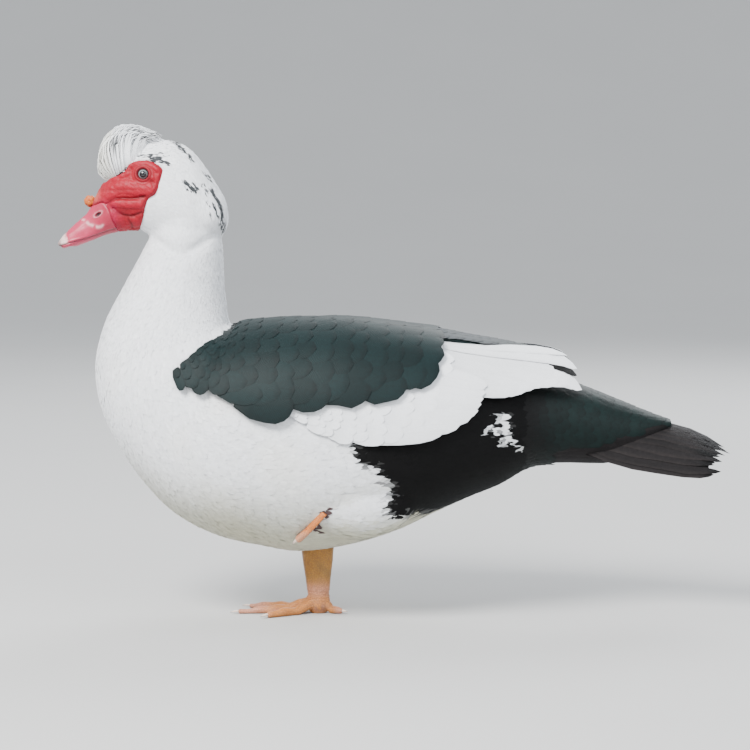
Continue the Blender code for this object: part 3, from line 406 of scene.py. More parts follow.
def distance_to(line: Rows, x: Array, z: Array) -> Array:
    """How far points seen from the side are from a line."""
    points = np.asarray(line, float)
    best = np.full(np.shape(x), 1e9)
    for (ax, az), (bx, bz) in zip(points[:-1], points[1:]):
        dx, dz = bx - ax, bz - az
        t = np.clip(((x - ax) * dx + (z - az) * dz) / (dx * dx + dz * dz), 0, 1)
        best = np.minimum(best, np.hypot(x - ax - t * dx, z - az - t * dz))
    return best


def streaked(streaks: Rows, x: Array, z: Array, fade: float) -> Array:
    """How dark streaks make points seen from the side.

    Args:
        streaks: X, Z of both ends of each streak, its half width and its strength.
        x: The X of the points.
        z: Their Z.
        fade: Where a streak ends, as a share of its half width.

    Returns:
        Shares from 0 to 1.
    """
    dark = np.zeros(np.shape(x))
    for ax, az, bx, bz, width, strength in streaks:
        away = distance_to(((ax, az), (bx, bz)), x, z)
        dark = np.maximum(dark, strength * (1 - ramp(away, width * 0.6, width * fade)))
    return dark


def inside(outline: Rows, x: Array, z: Array) -> Array:
    """Which points seen from the side lie inside a closed outline."""
    points = np.asarray(outline, float)
    found = np.zeros(np.shape(x), bool)
    for (ax, az), (bx, bz) in zip(points, np.roll(points, -1, axis=0)):
        if az == bz:
            continue
        crosses = ((az > z) != (bz > z)) & (x < (bx - ax) * (z - az) / (bz - az) + ax)
        found ^= crosses
    return found


def signed_distance(line: Rows, rest: Rows, x: Array, z: Array) -> Array:
    """How far points lie inside a line that other points close to an outline."""
    return distance_to(line, x, z) * np.where(inside(line + rest, x, z), 1, -1)


def mask_share(x: Array, z: Array, soft: float) -> Array:
    """1 on the bare mask and the bill, 0 on the feathered head, with a soft edge."""
    return ramp(signed_distance(MASK_EDGE, ((-400, 380), (-400, 462)), x, z), -soft, soft)


def bill_share(x: Array, z: Array, soft: float) -> Array:
    """1 on the horny bill, 0 behind its edge, with a soft edge."""
    return ramp(signed_distance(BILL_EDGE, ((-400, 385), (-400, 432)), x, z), -soft, soft)


def ripple(points: Array, size: float, seed: int) -> Array:
    """Smooth noise from -1 to 1 at points, with lumps of about a size."""
    dice = np.random.default_rng(seed)
    total = np.zeros(points.shape[:-1])
    for _ in range(6):
        wave = unit(dice.normal(size=3)) * (2 * math.pi / size) * dice.uniform(0.6, 1.5)
        total += np.sin(points @ wave + dice.uniform(0, 6.28))
    return total / 3.2


def new_piece(name: str, points: Array, quads: Array, triangles: Array, look: Look) -> Item:
    """A mesh object from arrays, with its place in its mesh.

    Args:
        name: The piece's name.
        points: Its points in millimetres.
        quads: Faces of four points.
        triangles: Faces of three points.
        look: Its material.

    Returns:
        The object, linked and smooth shaded.
    """
    mesh = bpy.data.meshes.new(name)
    quads = np.asarray(quads, np.int32).reshape(-1, 4)
    triangles = np.asarray(triangles, np.int32).reshape(-1, 3)
    loops = np.concatenate([quads.ravel(), triangles.ravel()])
    starts = np.concatenate(
        [np.arange(len(quads)) * 4, 4 * len(quads) + np.arange(len(triangles)) * 3]
    )
    mesh.vertices.add(len(points))
    mesh.vertices.foreach_set("co", (np.asarray(points, np.float32) * MM).ravel())
    mesh.loops.add(len(loops))
    mesh.loops.foreach_set("vertex_index", loops)
    mesh.polygons.add(len(starts))
    mesh.polygons.foreach_set("loop_start", starts.astype(np.int32))
    mesh.update(calc_edges=True)
    mesh.validate()
    mesh.shade_smooth()
    mesh.materials.append(look)
    item = bpy.data.objects.new(name, mesh)
    bpy.context.scene.collection.objects.link(item)
    return item


def paint(item: Item, name: str, colours: Array) -> None:
    """Store a colour for each point of a mesh, or one colour for all of them."""
    layer = item.data.color_attributes.new(name, "FLOAT_COLOR", "POINT")
    rgba = np.ones((len(item.data.vertices), 4), np.float32)
    rgba[:, :3] = np.clip(colours, 0, 1)
    layer.data.foreach_set("color", rgba.ravel())


def points_of(item: Item) -> Array:
    """The points of a mesh in millimetres."""
    flat_list = np.empty(len(item.data.vertices) * 3, np.float32)
    item.data.vertices.foreach_get("co", flat_list)
    return flat_list.reshape(-1, 3).astype(float) / MM


def normals_of(item: Item) -> Array:
    """The outward normals at the points of a mesh."""
    flat_list = np.empty(len(item.data.vertices) * 3, np.float32)
    item.data.vertex_normals.foreach_get("vector", flat_list)
    return flat_list.reshape(-1, 3).astype(float)


def move_points(item: Item, points: Array) -> None:
    """Put the points of a mesh at new places in millimetres."""
    item.data.vertices.foreach_set("co", (points * MM).astype(np.float32).ravel())
    item.data.update()


def take_alone(item: Item) -> None:
    """Select one object and make it the active one."""
    bpy.ops.object.select_all(action="DESELECT")
    item.select_set(True)
    bpy.context.view_layer.objects.active = item


def apply_all(item: Item) -> None:
    """Apply every modifier of an object."""
    take_alone(item)
    for change in list(item.modifiers):
        bpy.ops.object.modifier_apply(modifier=change.name)


def one_surface(item: Item, voxel: float, rounds: int) -> None:
    """Make a mesh one even, smooth surface.

    Args:
        item: The object.
        voxel: The size of its new faces in millimetres.
        rounds: How many times it is smoothed.
    """
    remesh = item.modifiers.new("one_surface", "REMESH")
    remesh.mode = "VOXEL"
    remesh.voxel_size = voxel * MM
    soften = item.modifiers.new("soften", "SMOOTH")
    soften.factor = 0.5
    soften.iterations = rounds
    apply_all(item)
    item.data.shade_smooth()


def grid_faces(rows: int, columns: int, start: int, closed: bool) -> Array:
    """Faces of a grid of points, row by row, closed round its columns or not."""
    last = columns if closed else columns - 1
    r, c = np.meshgrid(np.arange(rows - 1), np.arange(last), indexing="ij")
    after = (c + 1) % columns
    a, b = start + r * columns + c, start + r * columns + after
    return np.stack([a, b, b + columns, a + columns], -1).reshape(-1, 4)


def closed_loft(name: str, rings: Array, look: Look) -> Item:
    """A closed skin over rings of points, rounded off by a pole at each end."""
    rows, columns = rings.shape[:2]
    points = np.concatenate(
        [rings.reshape(-1, 3), rings[0].mean(0)[None], rings[-1].mean(0)[None]]
    )
    quads = grid_faces(rows, columns, 0, True)
    around = np.arange(columns)
    after = (around + 1) % columns
    first = np.stack([after, around, 0 * around + rows * columns], -1)
    base = (rows - 1) * columns
    last = np.stack([base + around, base + after, 0 * around + rows * columns + 1], -1)
    return new_piece(name, points, quads, np.concatenate([first, last]), look)


def slab(name: str, outer: Array, inner: Array, look: Look) -> Item:
    """A closed plate between two grids of points of the same shape.

    Args:
        name: The piece's name.
        outer: Its outer points. Rows go forward to back and columns up to down on the left.
        inner: Its inner points.
        look: Its material.

    Returns:
        The object.
    """
    rows, columns = outer.shape[:2]
    layer = rows * columns
    points = np.concatenate([outer.reshape(-1, 3), inner.reshape(-1, 3)])
    top = grid_faces(rows, columns, 0, False)
    under = grid_faces(rows, columns, layer, False)[:, ::-1]
    rim = np.concatenate(
        [
            np.arange(columns),
            np.arange(1, rows) * columns + columns - 1,
            (rows - 1) * columns + np.arange(columns - 2, -1, -1),
            np.arange(rows - 2, 0, -1) * columns,
        ]
    )
    after = np.roll(rim, -1)
    side = np.stack([after, rim, rim + layer, after + layer], -1)
    return new_piece(name, points, np.concatenate([top, under, side]), [], look)


def mirror_of(item: Item, name: str) -> Item:
    """A copy of a piece on the bird's other side, with its faces turned to point outwards."""
    other = bpy.data.objects.new(name, item.data.copy())
    bpy.context.scene.collection.objects.link(other)
    points = points_of(other)
    points[:, 1] *= -1
    move_points(other, points)
    other.data.flip_normals()
    return other


def turned_out(faces: Array, points: Array, skins: Array) -> Array:
    """Faces wound so that each looks away from the skin under it.

    The undersides of feathers look outwards too, because they lie over the tops where the skin
    is hollow.

    Args:
        faces: The corners of each face.
        points: The points that they name.
        skins: The outward direction at each point.

    Returns:
        The same faces, with the wrong ones reversed.
    """
    corner = points[faces[:, :3]]
    normal = np.cross(corner[:, 1] - corner[:, 0], corner[:, 2] - corner[:, 1])
    wrong = (normal * skins[faces[:, 1]]).sum(-1) < 0
    return np.where(wrong[:, None], faces[:, ::-1], faces)


@dataclass(frozen=True)
class Vane:
    """How one kind of feather is cut: its width along its length, and how it is arched."""

    shares: tuple[float, ...]
    widths: tuple[float, ...]
    columns: int = 3
    arch: float = 0.35

    def across(self) -> Array:
        """The places of its columns, from -1 to 1."""
        return np.linspace(-1, 1, self.columns)

    def faces(self, count: int) -> tuple[Array, Array]:
        """Quads and triangles of count feathers laid out one after the other."""
        rows, columns = len(self.shares) - 1, self.columns
        each = rows * columns + 1
        quads = grid_faces(rows, columns, 0, False)
        left = np.arange(rows - 1) * columns
        right = left + columns - 1
        under = np.stack([right, left, left + columns, right + columns], -1)
        quads = np.concatenate([quads, under])
        tip = each - 1
        end = (rows - 1) * columns + np.arange(columns - 1)
        ends = np.stack([end, end + 1, 0 * end + tip], -1)
        shut = np.array([[end[-1] + 1, end[0], tip]])
        fan = np.arange(1, columns - 1)
        base = np.stack([fan + 1, fan, 0 * fan], -1)
        triangles = np.concatenate([ends, shut, base])
        shift = (np.arange(count) * each)[:, None, None]
        return (quads + shift).reshape(-1, 4), (triangles + shift).reshape(-1, 3)

    def spread(self, count: int) -> tuple[Array, Array]:
        """Places across (-1 to 1) and along (0 to 1) each point of count feathers."""
        rows = len(self.shares) - 1
        across = np.concatenate([np.tile(self.across(), rows), [0.0]])
        along = np.concatenate([np.repeat(self.shares[:-1], self.columns), [1.0]])
        return np.tile(across, (count, 1)), np.tile(along, (count, 1))


SMALL_VANE = Vane((0.0, 0.4, 0.78, 1.0), (0.55, 1.0, 0.72, 0.0))
SOFT_VANE = Vane((0.0, 0.3, 0.62, 0.88, 1.0), (0.5, 0.95, 1.0, 0.6, 0.0))
BROAD_VANE = Vane(
    (0.0, 0.25, 0.5, 0.72, 0.87, 0.96, 1.0), (0.6, 0.92, 1.0, 0.94, 0.72, 0.38, 0.0), 7, 0.5
)
LONG_VANE = Vane(
    (0.0, 0.15, 0.35, 0.55, 0.75, 0.88, 0.96, 1.0),
    (0.6, 0.85, 0.97, 1.0, 0.94, 0.76, 0.45, 0.0),
    7,
    0.6,
)
LOCK_VANE = Vane((0.0, 0.2, 0.42, 0.64, 0.84, 1.0), (0.7, 1.0, 0.9, 0.66, 0.36, 0.0), 3, 0.5)


@dataclass
class Layout:
    """Where feathers root and end, as along and turn, and how wide they are."""

    rows: list[tuple[float, ...]] = field(default_factory=list)

    def add(self, root: tuple[float, float], tip: tuple[float, float], width: float) -> None:
        """Add one feather."""
        self.rows.append((*root, *tip, width))

    def columns(self) -> tuple[Array, Array, Array]:
        """Roots, tips and widths of all."""
        table = np.array(self.rows, float)
        return table[:, 0:2], table[:, 2:4], table[:, 4]


@dataclass
class Flock:
    """Many feathers of one kind, gathered as arrays and made one mesh."""

    vane: Vane
    points: list[Array] = field(default_factory=list)
    skins: list[Array] = field(default_factory=list)
    colours: list[Array] = field(default_factory=list)
    bases: list[Array] = field(default_factory=list)

    def lay(self, spine: Array, out: Array, half: Array, arch: Array | float = 1.0) -> Array:
        """Feathers along spines, flat across.

        Args:
            spine: Points of shape feathers, stations, 3. The last station is the tip.
            out: The outward directions at the same points.
            half: Half of each feather's greatest width.
            arch: How strongly each one is arched.

        Returns:
            Their points, of shape feathers, points, 3.
        """
        ahead = unit(np.gradient(spine, axis=1))
        side = unit(np.cross(ahead, out))
        face = np.cross(side, ahead)
        across = self.vane.across()
        widths = np.asarray(self.vane.widths)[None, :-1, None, None]
        reach = half[:, None, None, None] * widths * across[None, None, :, None]
        rise = self.vane.arch * np.broadcast_to(arch, half.shape)[:, None, None, None]
        rise = rise * (1 - across[None, None, :, None] ** 2)
        body = spine[:, :-1, None] + side[:, :-1, None] * reach + face[:, :-1, None] * rise
        laid = np.concatenate([body.reshape(len(spine), -1, 3), spine[:, -1:, :]], axis=1)
        skin = np.repeat(out[:, :-1], self.vane.columns, axis=1)
        self.points.append(laid)
        self.skins.append(np.concatenate([skin, out[:, -1:]], axis=1))
        return laid

    def lay_on(
        self,
        hide: Hide,
        roots: Array,
        tips: Array,
        widths: Array,
        lifts: tuple[float, float],
        base: Surface,
        tilt: float = 0.0,
        ragged: float = 0.0,
        seed: int = 1,
    ) -> None:
        """Feathers that follow a hide, also across.

        Args:
            hide: The surface that they lie on.
            roots: Where they start, as along and turn.
            tips: Where they end.
            widths: Their full widths in millimetres.
            lifts: How far root and tip stand above the base.
            base: The lift of what they lie on.
            tilt: How much prouder the edge with the greater turn stands.
            ragged: How uneven their edges are, as a share of the half width.
            seed: The start of their chance values.
        """
        dice = np.random.default_rng(seed)
        shares = np.asarray(self.vane.shares)
        count, rows = len(roots), len(shares)
        columns = self.vane.columns
        mid = roots[:, None] + (tips - roots)[:, None] * shares[None, :, None]
        per_along, per_turn = hide.scale(mid[..., 0], mid[..., 1])
        step = tips - roots
        run = unit(np.stack([step[:, None, 0] * per_along, step[:, None, 1] * per_turn], -1))
        across = self.vane.across()[None, None, :]
        half = widths[:, None, None] / 2 * np.asarray(self.vane.widths)[None, :, None]
        half = np.broadcast_to(half, (count, rows, columns)).copy()
        if ragged:
            half *= 1 + ragged * dice.uniform(-1, 1, half.shape) * (np.abs(across) > 0.9)
        reach = across * half
        along = mid[..., 0, None] - run[..., 1, None] * reach / per_along[..., None]
        turn = mid[..., 1, None] + run[..., 0, None] * reach / per_turn[..., None]
        if ragged:
            along += ragged * 3 * dice.uniform(-1, 1, half.shape) * (shares > 0.5)[None, :, None]
        lift = blend(lifts[0], lifts[1], shares)[None, :, None] + tilt * across
        lift = lift + self.vane.arch * (1 - across**2)
        lift = lift + base(along, turn)
        placed = hide.place(along, turn, lift)
        skin = hide.normal(along, turn)
        middle = columns // 2
        laid = np.concatenate(
            [placed[:, :-1].reshape(count, -1, 3), placed[:, -1:, middle]], axis=1
        )
        self.points.append(laid)
        skins = np.concatenate([skin[:, :-1].reshape(count, -1, 3), skin[:, -1:, middle]], axis=1)
        self.skins.append(skins)

    def lay_quill(
        self, row: Array, root_lift: float, base: Surface, tilt: float, ragged: float, seed: int
    ) -> None:
        """One feather on the trunk, from a row of root and tip, width, and lift of the tip."""
        ends = row[None, 0:2], row[None, 2:4]
        lifts = (root_lift, row[5])
        self.lay_on(TRUNK_HIDE, *ends, row[None, 4], lifts, base, tilt, ragged, seed)

    def dye(self, colours: Array) -> None:
        """Add the colours of the feathers laid last, one for each of their points."""
        self.colours.append(colours)

    def root_at(self, places: Array) -> None:
        """Add where the feathers laid last root on the unwrapped skin, from 0 to 1."""
        self.bases.append(places)

    def make(self, name: str, look: Look, silk: float = 0.5, mirrored: bool = False) -> Item:
        """One mesh of all feathers gathered so far.

        Args:
            name: The piece's name.
            look: Its material.
            silk: How much of the skin's own normals the shading takes.
            mirrored: Whether to add their mirror images.

        Returns:
            The object, with its maps of barbs and, if roots are known, of the bake.
        """
        points, skins = np.concatenate(self.points), np.concatenate(self.skins)
        colours = np.concatenate(self.colours)
        count = len(points)
        quads, triangles = self.vane.faces(count)
        across, along = self.vane.spread(count)
        bases = np.concatenate(self.bases) if self.bases else None
        if mirrored:
            flip = np.array([1, -1, 1])
            total = points.shape[0] * points.shape[1]
            quads = np.concatenate([quads, quads[:, ::-1] + total])
            triangles = np.concatenate([triangles, triangles[:, ::-1] + total])
            points = np.concatenate([points, points * flip])
            skins = np.concatenate([skins, skins * flip])
            colours = np.concatenate([colours, colours])
            across, along = np.concatenate([across, across]), np.concatenate([along, along])
        quads, triangles = (
            turned_out(faces, points.reshape(-1, 3), skins.reshape(-1, 3))
            for faces in (quads, triangles)
        )
        item = new_piece(name, points.reshape(-1, 3), quads, triangles, look)
        paint(item, "plume", colours.reshape(-1, 3))
        corners = np.empty(len(item.data.loops), np.int32)
        item.data.loops.foreach_get("vertex_index", corners)
        barbs = np.stack([across.ravel() * 0.5 + 0.5, along.ravel()], -1)
        layer = item.data.uv_layers.new(name="vane")
        layer.data.foreach_set("uv", barbs[corners].astype(np.float32).ravel())
        if bases is not None:
            patch = bases[:, None, :] + (barbs.reshape(count, -1, 2) - 0.5) * 0.003
            layer = item.data.uv_layers.new(name="OFBake")
            layer.data.foreach_set("uv", patch.reshape(-1, 2)[corners].astype(np.float32).ravel())
        if silk:
            own = normals_of(item)
            mixed = unit(own * (1 - silk) + skins.reshape(-1, 3) * silk)
            under = (own * skins.reshape(-1, 3)).sum(-1) < -0.2
            mixed[under] = own[under]
            item.data.normals_split_custom_set_from_vertices(mixed.tolist())
        return item


class Mixer:
    """A node material under construction, with its shader."""

    def __init__(self, name: str) -> None:
        """Start a material of that name."""
        self.material = bpy.data.materials.new(name)
        self.material.use_nodes = True
        self.tree = self.material.node_tree
        self.shader = self.tree.nodes["Principled BSDF"]

    def node(self, kind: str, **values: object) -> bpy.types.Node:
        """A node of a kind, with its properties set."""
        made = self.tree.nodes.new(kind)
        for key, value in values.items():
            setattr(made, key, value)
        return made

    def join(self, source: Socket, target: Socket) -> None:
        """Link two sockets."""
        self.tree.links.new(source, target)

    def setting(self, **values: float | tuple[float, ...]) -> None:
        """Set sockets of the shader, with underscores for the spaces in their names."""
        for key, value in values.items():
            self.shader.inputs[key.replace("_", " ")].default_value = value

    def attribute(self, name: str) -> Socket:
        """The colour that the mesh stores under a name."""
        return self.node("ShaderNodeAttribute", attribute_name=name).outputs["Color"]

    def here(self) -> Socket:
        """Places on the object."""
        return self.node("ShaderNodeTexCoord").outputs["Object"]

    def noise(self, size: float, detail: float = 3.0, rough: float = 0.55) -> Socket:
        """Noise with lumps of a size in millimetres."""
        made = self.node("ShaderNodeTexNoise")
        self.join(self.here(), made.inputs["Vector"])
        made.inputs["Scale"].default_value = 1 / (size * MM)
        made.inputs["Detail"].default_value = detail
        made.inputs["Roughness"].default_value = rough
        return made.outputs["Fac"]

    def cells(self, size: float, feature: str = "F1") -> Socket:
        """Distances within rounded cells of a size in millimetres."""
        made = self.node("ShaderNodeTexVoronoi", feature=feature)
        self.join(self.here(), made.inputs["Vector"])
        made.inputs["Scale"].default_value = 1 / (size * MM)
        return made.outputs["Distance"]

    def calc(
        self,
        operation: str,
        first: Socket | float,
        second: Socket | float = 0.0,
    ) -> Socket:
        """The result of an operation on two numbers."""
        made = self.node("ShaderNodeMath", operation=operation)
        for socket, value in zip(made.inputs, (first, second)):
            if isinstance(value, Socket):
                self.join(value, socket)
            else:
                socket.default_value = value
        return made.outputs["Value"]

    def spread(self, value: Socket, low: float, high: float, start: float, end: float) -> Socket:
        """A number brought from low-high to start-end."""
        made = self.node("ShaderNodeMapRange")
        self.join(value, made.inputs["Value"])
        for name, number in (
            ("From Min", low),
            ("From Max", high),
            ("To Min", start),
            ("To Max", end),
        ):
            made.inputs[name].default_value = number
        return made.outputs["Result"]

    def tint(
        self,
        share: Socket | float,
        first: Socket | Colour,
        second: Socket | Colour,
        way: str = "MIX",
    ) -> Socket:
        """A mix of two colours."""
        made = self.node("ShaderNodeMix", data_type="RGBA", blend_type=way)
        if isinstance(share, Socket):
            self.join(share, made.inputs["Factor"])
        else:
            made.inputs["Factor"].default_value = share
        for name, value in (("A", first), ("B", second)):
            socket = [s for s in made.inputs if s.name == name and s.type == "RGBA"][0]
            if isinstance(value, Socket):
                self.join(value, socket)
            else:
                socket.default_value = (*value, 1)
        return [s for s in made.outputs if s.type == "RGBA"][0]

    def bump(
        self,
        height: Socket,
        depth: float,
        strength: float,
        under: Socket | None = None,
    ) -> Socket:
        """A bump of a depth in millimetres, on top of another one."""
        made = self.node("ShaderNodeBump")
        made.inputs["Strength"].default_value = strength
        made.inputs["Distance"].default_value = depth * MM
        self.join(height, made.inputs["Height"])
        if under is not None:
            self.join(under, made.inputs["Normal"])
        return made.outputs["Normal"]

    def roughen(self, noise: Socket, low: float, high: float) -> None:
        """Let a noise vary the shader's roughness between two values."""
        self.join(self.spread(noise, 0.3, 0.7, low, high), self.shader.inputs["Roughness"])

    def finish(self, colour: Socket, normal: Socket | None = None) -> Look:
        """Give the shader its colour and bump, and hand the material over."""
        self.join(colour, self.shader.inputs["Base Color"])
        if normal is not None:
            self.join(normal, self.shader.inputs["Normal"])
        return self.material


@dataclass(frozen=True)
class FeatherFinish:
    """Feathers with barbs that run out from a shaft, in the colours their points hold."""

    name: str
    roughness: float
    sheen: float
    barbs: float
    depth: float
    shaft: float
    contrast: float
    gloss: Colour = (1.0, 1.0, 1.0)
    specular: float = 0.5

    def make(self) -> Look:
        """The material."""
        mix = Mixer(self.name)
        mix.setting(
            Roughness=self.roughness,
            Sheen_Weight=self.sheen,
            Sheen_Roughness=0.4,
            Sheen_Tint=(*self.gloss, 1),
            Specular_IOR_Level=self.specular,
        )
        places = mix.node("ShaderNodeUVMap", uv_map="vane").outputs["UV"]
        split = mix.node("ShaderNodeSeparateXYZ")
        mix.join(places, split.inputs["Vector"])
        off = mix.calc("ABSOLUTE", mix.calc("SUBTRACT", split.outputs["X"], 0.5))
        slant = mix.calc("SUBTRACT", split.outputs["Y"], mix.calc("MULTIPLY", off, 0.55))
        wobble = mix.calc("MULTIPLY", mix.noise(9.0), 0.12)
        phase = mix.calc("MULTIPLY", mix.calc("ADD", slant, wobble), self.barbs)
        stripes = mix.calc("SINE", phase)
        streak = mix.spread(stripes, -1, 1, 1 - self.contrast, 1)
        fine = mix.spread(mix.noise(3.0, 4), 0.3, 0.7, 1 - self.contrast, 1)
        shaft = mix.spread(off, 0.0, 0.03, 1 - self.shaft, 1)
        shade = mix.calc("MULTIPLY", mix.calc("MULTIPLY", streak, fine), shaft)
        grey = mix.node("ShaderNodeCombineColor")
        for name in ("Red", "Green", "Blue"):
            mix.join(shade, grey.inputs[name])
        colour = mix.tint(1.0, mix.attribute("plume"), grey.outputs["Color"], "MULTIPLY")
        normal = mix.bump(stripes, self.depth, 0.35)
        normal = mix.bump(mix.noise(1.6, 3), self.depth, 0.25, normal)
        return mix.finish(colour, normal)


@dataclass(frozen=True)
class DownFinish:
    """The short soft ground under the feathers."""

    name: str
    roughness: float = 0.85

    def make(self) -> Look:
        """The material."""
        mix = Mixer(self.name)
        mix.setting(Roughness=self.roughness, Sheen_Weight=0.01, Specular_IOR_Level=0.15)
        lumps = mix.spread(mix.noise(2.2, 4, 0.7), 0.3, 0.7, 0.0, 0.3)
        colour = mix.tint(lumps, mix.attribute("plume"), (0.45, 0.46, 0.47), "MULTIPLY")
        return mix.finish(colour, mix.bump(mix.noise(1.4, 4, 0.7), 0.5, 0.6))


@dataclass(frozen=True)
class BareSkinFinish:
    """Bare, warty skin in the colours its points hold."""

    name: str
    wart: float
    roughness: float
    depth: float
    fold: Colour
    coat: float
    glow: float

    def make(self) -> Look:
        """The material."""
        mix = Mixer(self.name)
        mix.setting(
            Coat_Weight=self.coat,
            Coat_Roughness=0.35,
            Specular_IOR_Level=0.22,
            Subsurface_Weight=self.glow,
            Subsurface_Radius=(1.0, 0.25, 0.2),
            Subsurface_Scale=0.003,
        )
        warts = mix.cells(self.wart)
        pores = mix.noise(0.8, 3, 0.6)
        blotch = mix.spread(mix.noise(7.0, 3), 0.35, 0.7, 0.0, 0.45)
        colour = mix.tint(blotch, mix.attribute("flush"), self.fold)
        rims = mix.spread(warts, 0.25, 0.7, 0.0, 0.35)
        colour = mix.tint(rims, colour, self.fold)
        mix.roughen(pores, self.roughness - 0.08, self.roughness + 0.12)
        domes = mix.spread(warts, 0.0, 0.8, 1.0, 0.0)
        normal = mix.bump(domes, self.depth, 0.7)
        normal = mix.bump(pores, self.depth * 0.5, 0.4, normal)
        return mix.finish(colour, normal)


@dataclass(frozen=True)
class HornFinish:
    """Smooth horn in the colours its points hold, with fine growth lines."""

    name: str
    roughness: float
    streak: float
    coat: float

    def make(self) -> Look:
        """The material."""
        mix = Mixer(self.name)
        mix.setting(
            Coat_Weight=self.coat,
            Coat_Roughness=0.25,
            Subsurface_Weight=0.1,
            Subsurface_Radius=(1.0, 0.4, 0.35),
            Subsurface_Scale=0.002,
        )
        cloud = mix.spread(mix.noise(5.0, 4), 0.35, 0.7, 0.0, 0.35)
        dull = mix.tint(cloud, mix.attribute("flush"), (0.85, 0.62, 0.66), "MULTIPLY")
        grain = mix.noise(self.streak, 4, 0.65)
        mix.roughen(grain, self.roughness - 0.07, self.roughness + 0.14)
        normal = mix.bump(grain, 0.15, 0.35)
        return mix.finish(dull, normal)


@dataclass(frozen=True)
class EyeFinish:
    """A wet eye: a dark pupil, a pale iris with a darker rim, and the dark of the lids round it."""

    name: str
    pupil: float
    iris: float

    def make(self) -> Look:
        """The material."""
        mix = Mixer(self.name)
        mix.setting(Roughness=0.06, Coat_Weight=1.0, Coat_Roughness=0.03, IOR=1.38)
        split = mix.node("ShaderNodeSeparateXYZ")
        mix.join(mix.here(), split.inputs["Vector"])
        run = mix.calc("SUBTRACT", split.outputs["X"], (EYE[0] - 0.5) * MM)
        rise = mix.calc("SUBTRACT", split.outputs["Z"], EYE[2] * MM)
        square = mix.calc("ADD", mix.calc("POWER", run, 2.0), mix.calc("POWER", rise, 2.0))
        reach = mix.calc("MULTIPLY", mix.calc("SQRT", square), 1 / (self.iris * MM))
        ring = mix.node("ShaderNodeValToRGB")
        pupil = self.pupil / self.iris
        stops = (
            (0.0, (0.004, 0.004, 0.006)),
            (pupil - 0.03, (0.004, 0.004, 0.006)),
            (pupil + 0.05, (0.10, 0.14, 0.15)),
            (0.72, (0.24, 0.29, 0.29)),
            (0.9, (0.11, 0.14, 0.15)),
            (1.0, (0.03, 0.012, 0.014)),
        )
        made = ring.color_ramp.elements
        for place, _ in stops[1:-1]:
            made.new(place)
        for stop, (_, colour) in zip(made, stops):
            stop.color = (*colour, 1)
        mix.join(reach, ring.inputs["Fac"])
        fibres = mix.spread(mix.noise(0.7, 4), 0.3, 0.7, 0.0, 0.35)
        colour = mix.tint(fibres, ring.outputs["Color"], (0.55, 0.58, 0.6), "MULTIPLY")
        return mix.finish(colour)


@dataclass(frozen=True)
class ScaleFinish:
    """Scaly skin of leg and foot in the colours its points hold."""

    name: str
    scale: float
    roughness: float

    def make(self) -> Look:
        """The material."""
        mix = Mixer(self.name)
        mix.setting(Coat_Weight=0.1, Coat_Roughness=0.4, Subsurface_Weight=0.05)
        mix.setting(Subsurface_Scale=0.002)
        plates = mix.cells(self.scale, "DISTANCE_TO_EDGE")
        grooves = mix.spread(plates, 0.0, 0.16, 1.0, 0.0)
        share = mix.calc("MULTIPLY", grooves, 0.55)
        colour = mix.tint(share, mix.attribute("flush"), (0.16, 0.07, 0.03))
        cloud = mix.spread(mix.noise(6.0, 4), 0.35, 0.7, 0.0, 0.4)
        colour = mix.tint(cloud, colour, (0.62, 0.52, 0.45), "MULTIPLY")
        mix.roughen(mix.noise(1.5), self.roughness - 0.08, self.roughness + 0.1)
        domes = mix.spread(plates, 0.0, 0.3, 0.0, 1.0)
        normal = mix.bump(domes, 0.4, 0.7)
        return mix.finish(colour, mix.bump(mix.noise(0.6), 0.15, 0.3, normal))


@dataclass(frozen=True)
class FloorFinish:
    """A matt pale studio floor."""

    name: str = "studio_floor"

    def make(self) -> Look:
        """The material."""
        mix = Mixer(self.name)
        mix.setting(Roughness=0.9)
        cloud = mix.spread(mix.noise(400.0), 0.3, 0.7, 0.0, 0.25)
        return mix.finish(mix.tint(cloud, (0.46, 0.46, 0.455), (0.42, 0.42, 0.42)))


WHITE = np.array((0.82, 0.84, 0.87))
# A cream tint darkened with painted shade, for the belly where it faces down.
SHADED_CREAM = np.array((0.46, 0.45, 0.32))
BLACK = np.array((0.0016, 0.0016, 0.0018))
GREEN_BLACK = np.array((0.0024, 0.0075, 0.0068))
TEAL = np.array((0.0028, 0.0105, 0.0112))
CHARCOAL = np.array((0.0105, 0.0088, 0.0095))
WORN = np.array((0.019, 0.0155, 0.0155))
BLUE = np.array((0.0040, 0.0095, 0.0180))
TEAL_RIM = np.array((0.0012, 0.0035, 0.0038))
LOCK_DARK = np.array((0.009, 0.013, 0.016))
LOCK_WARM = np.array((1.0, 0.98, 0.9))


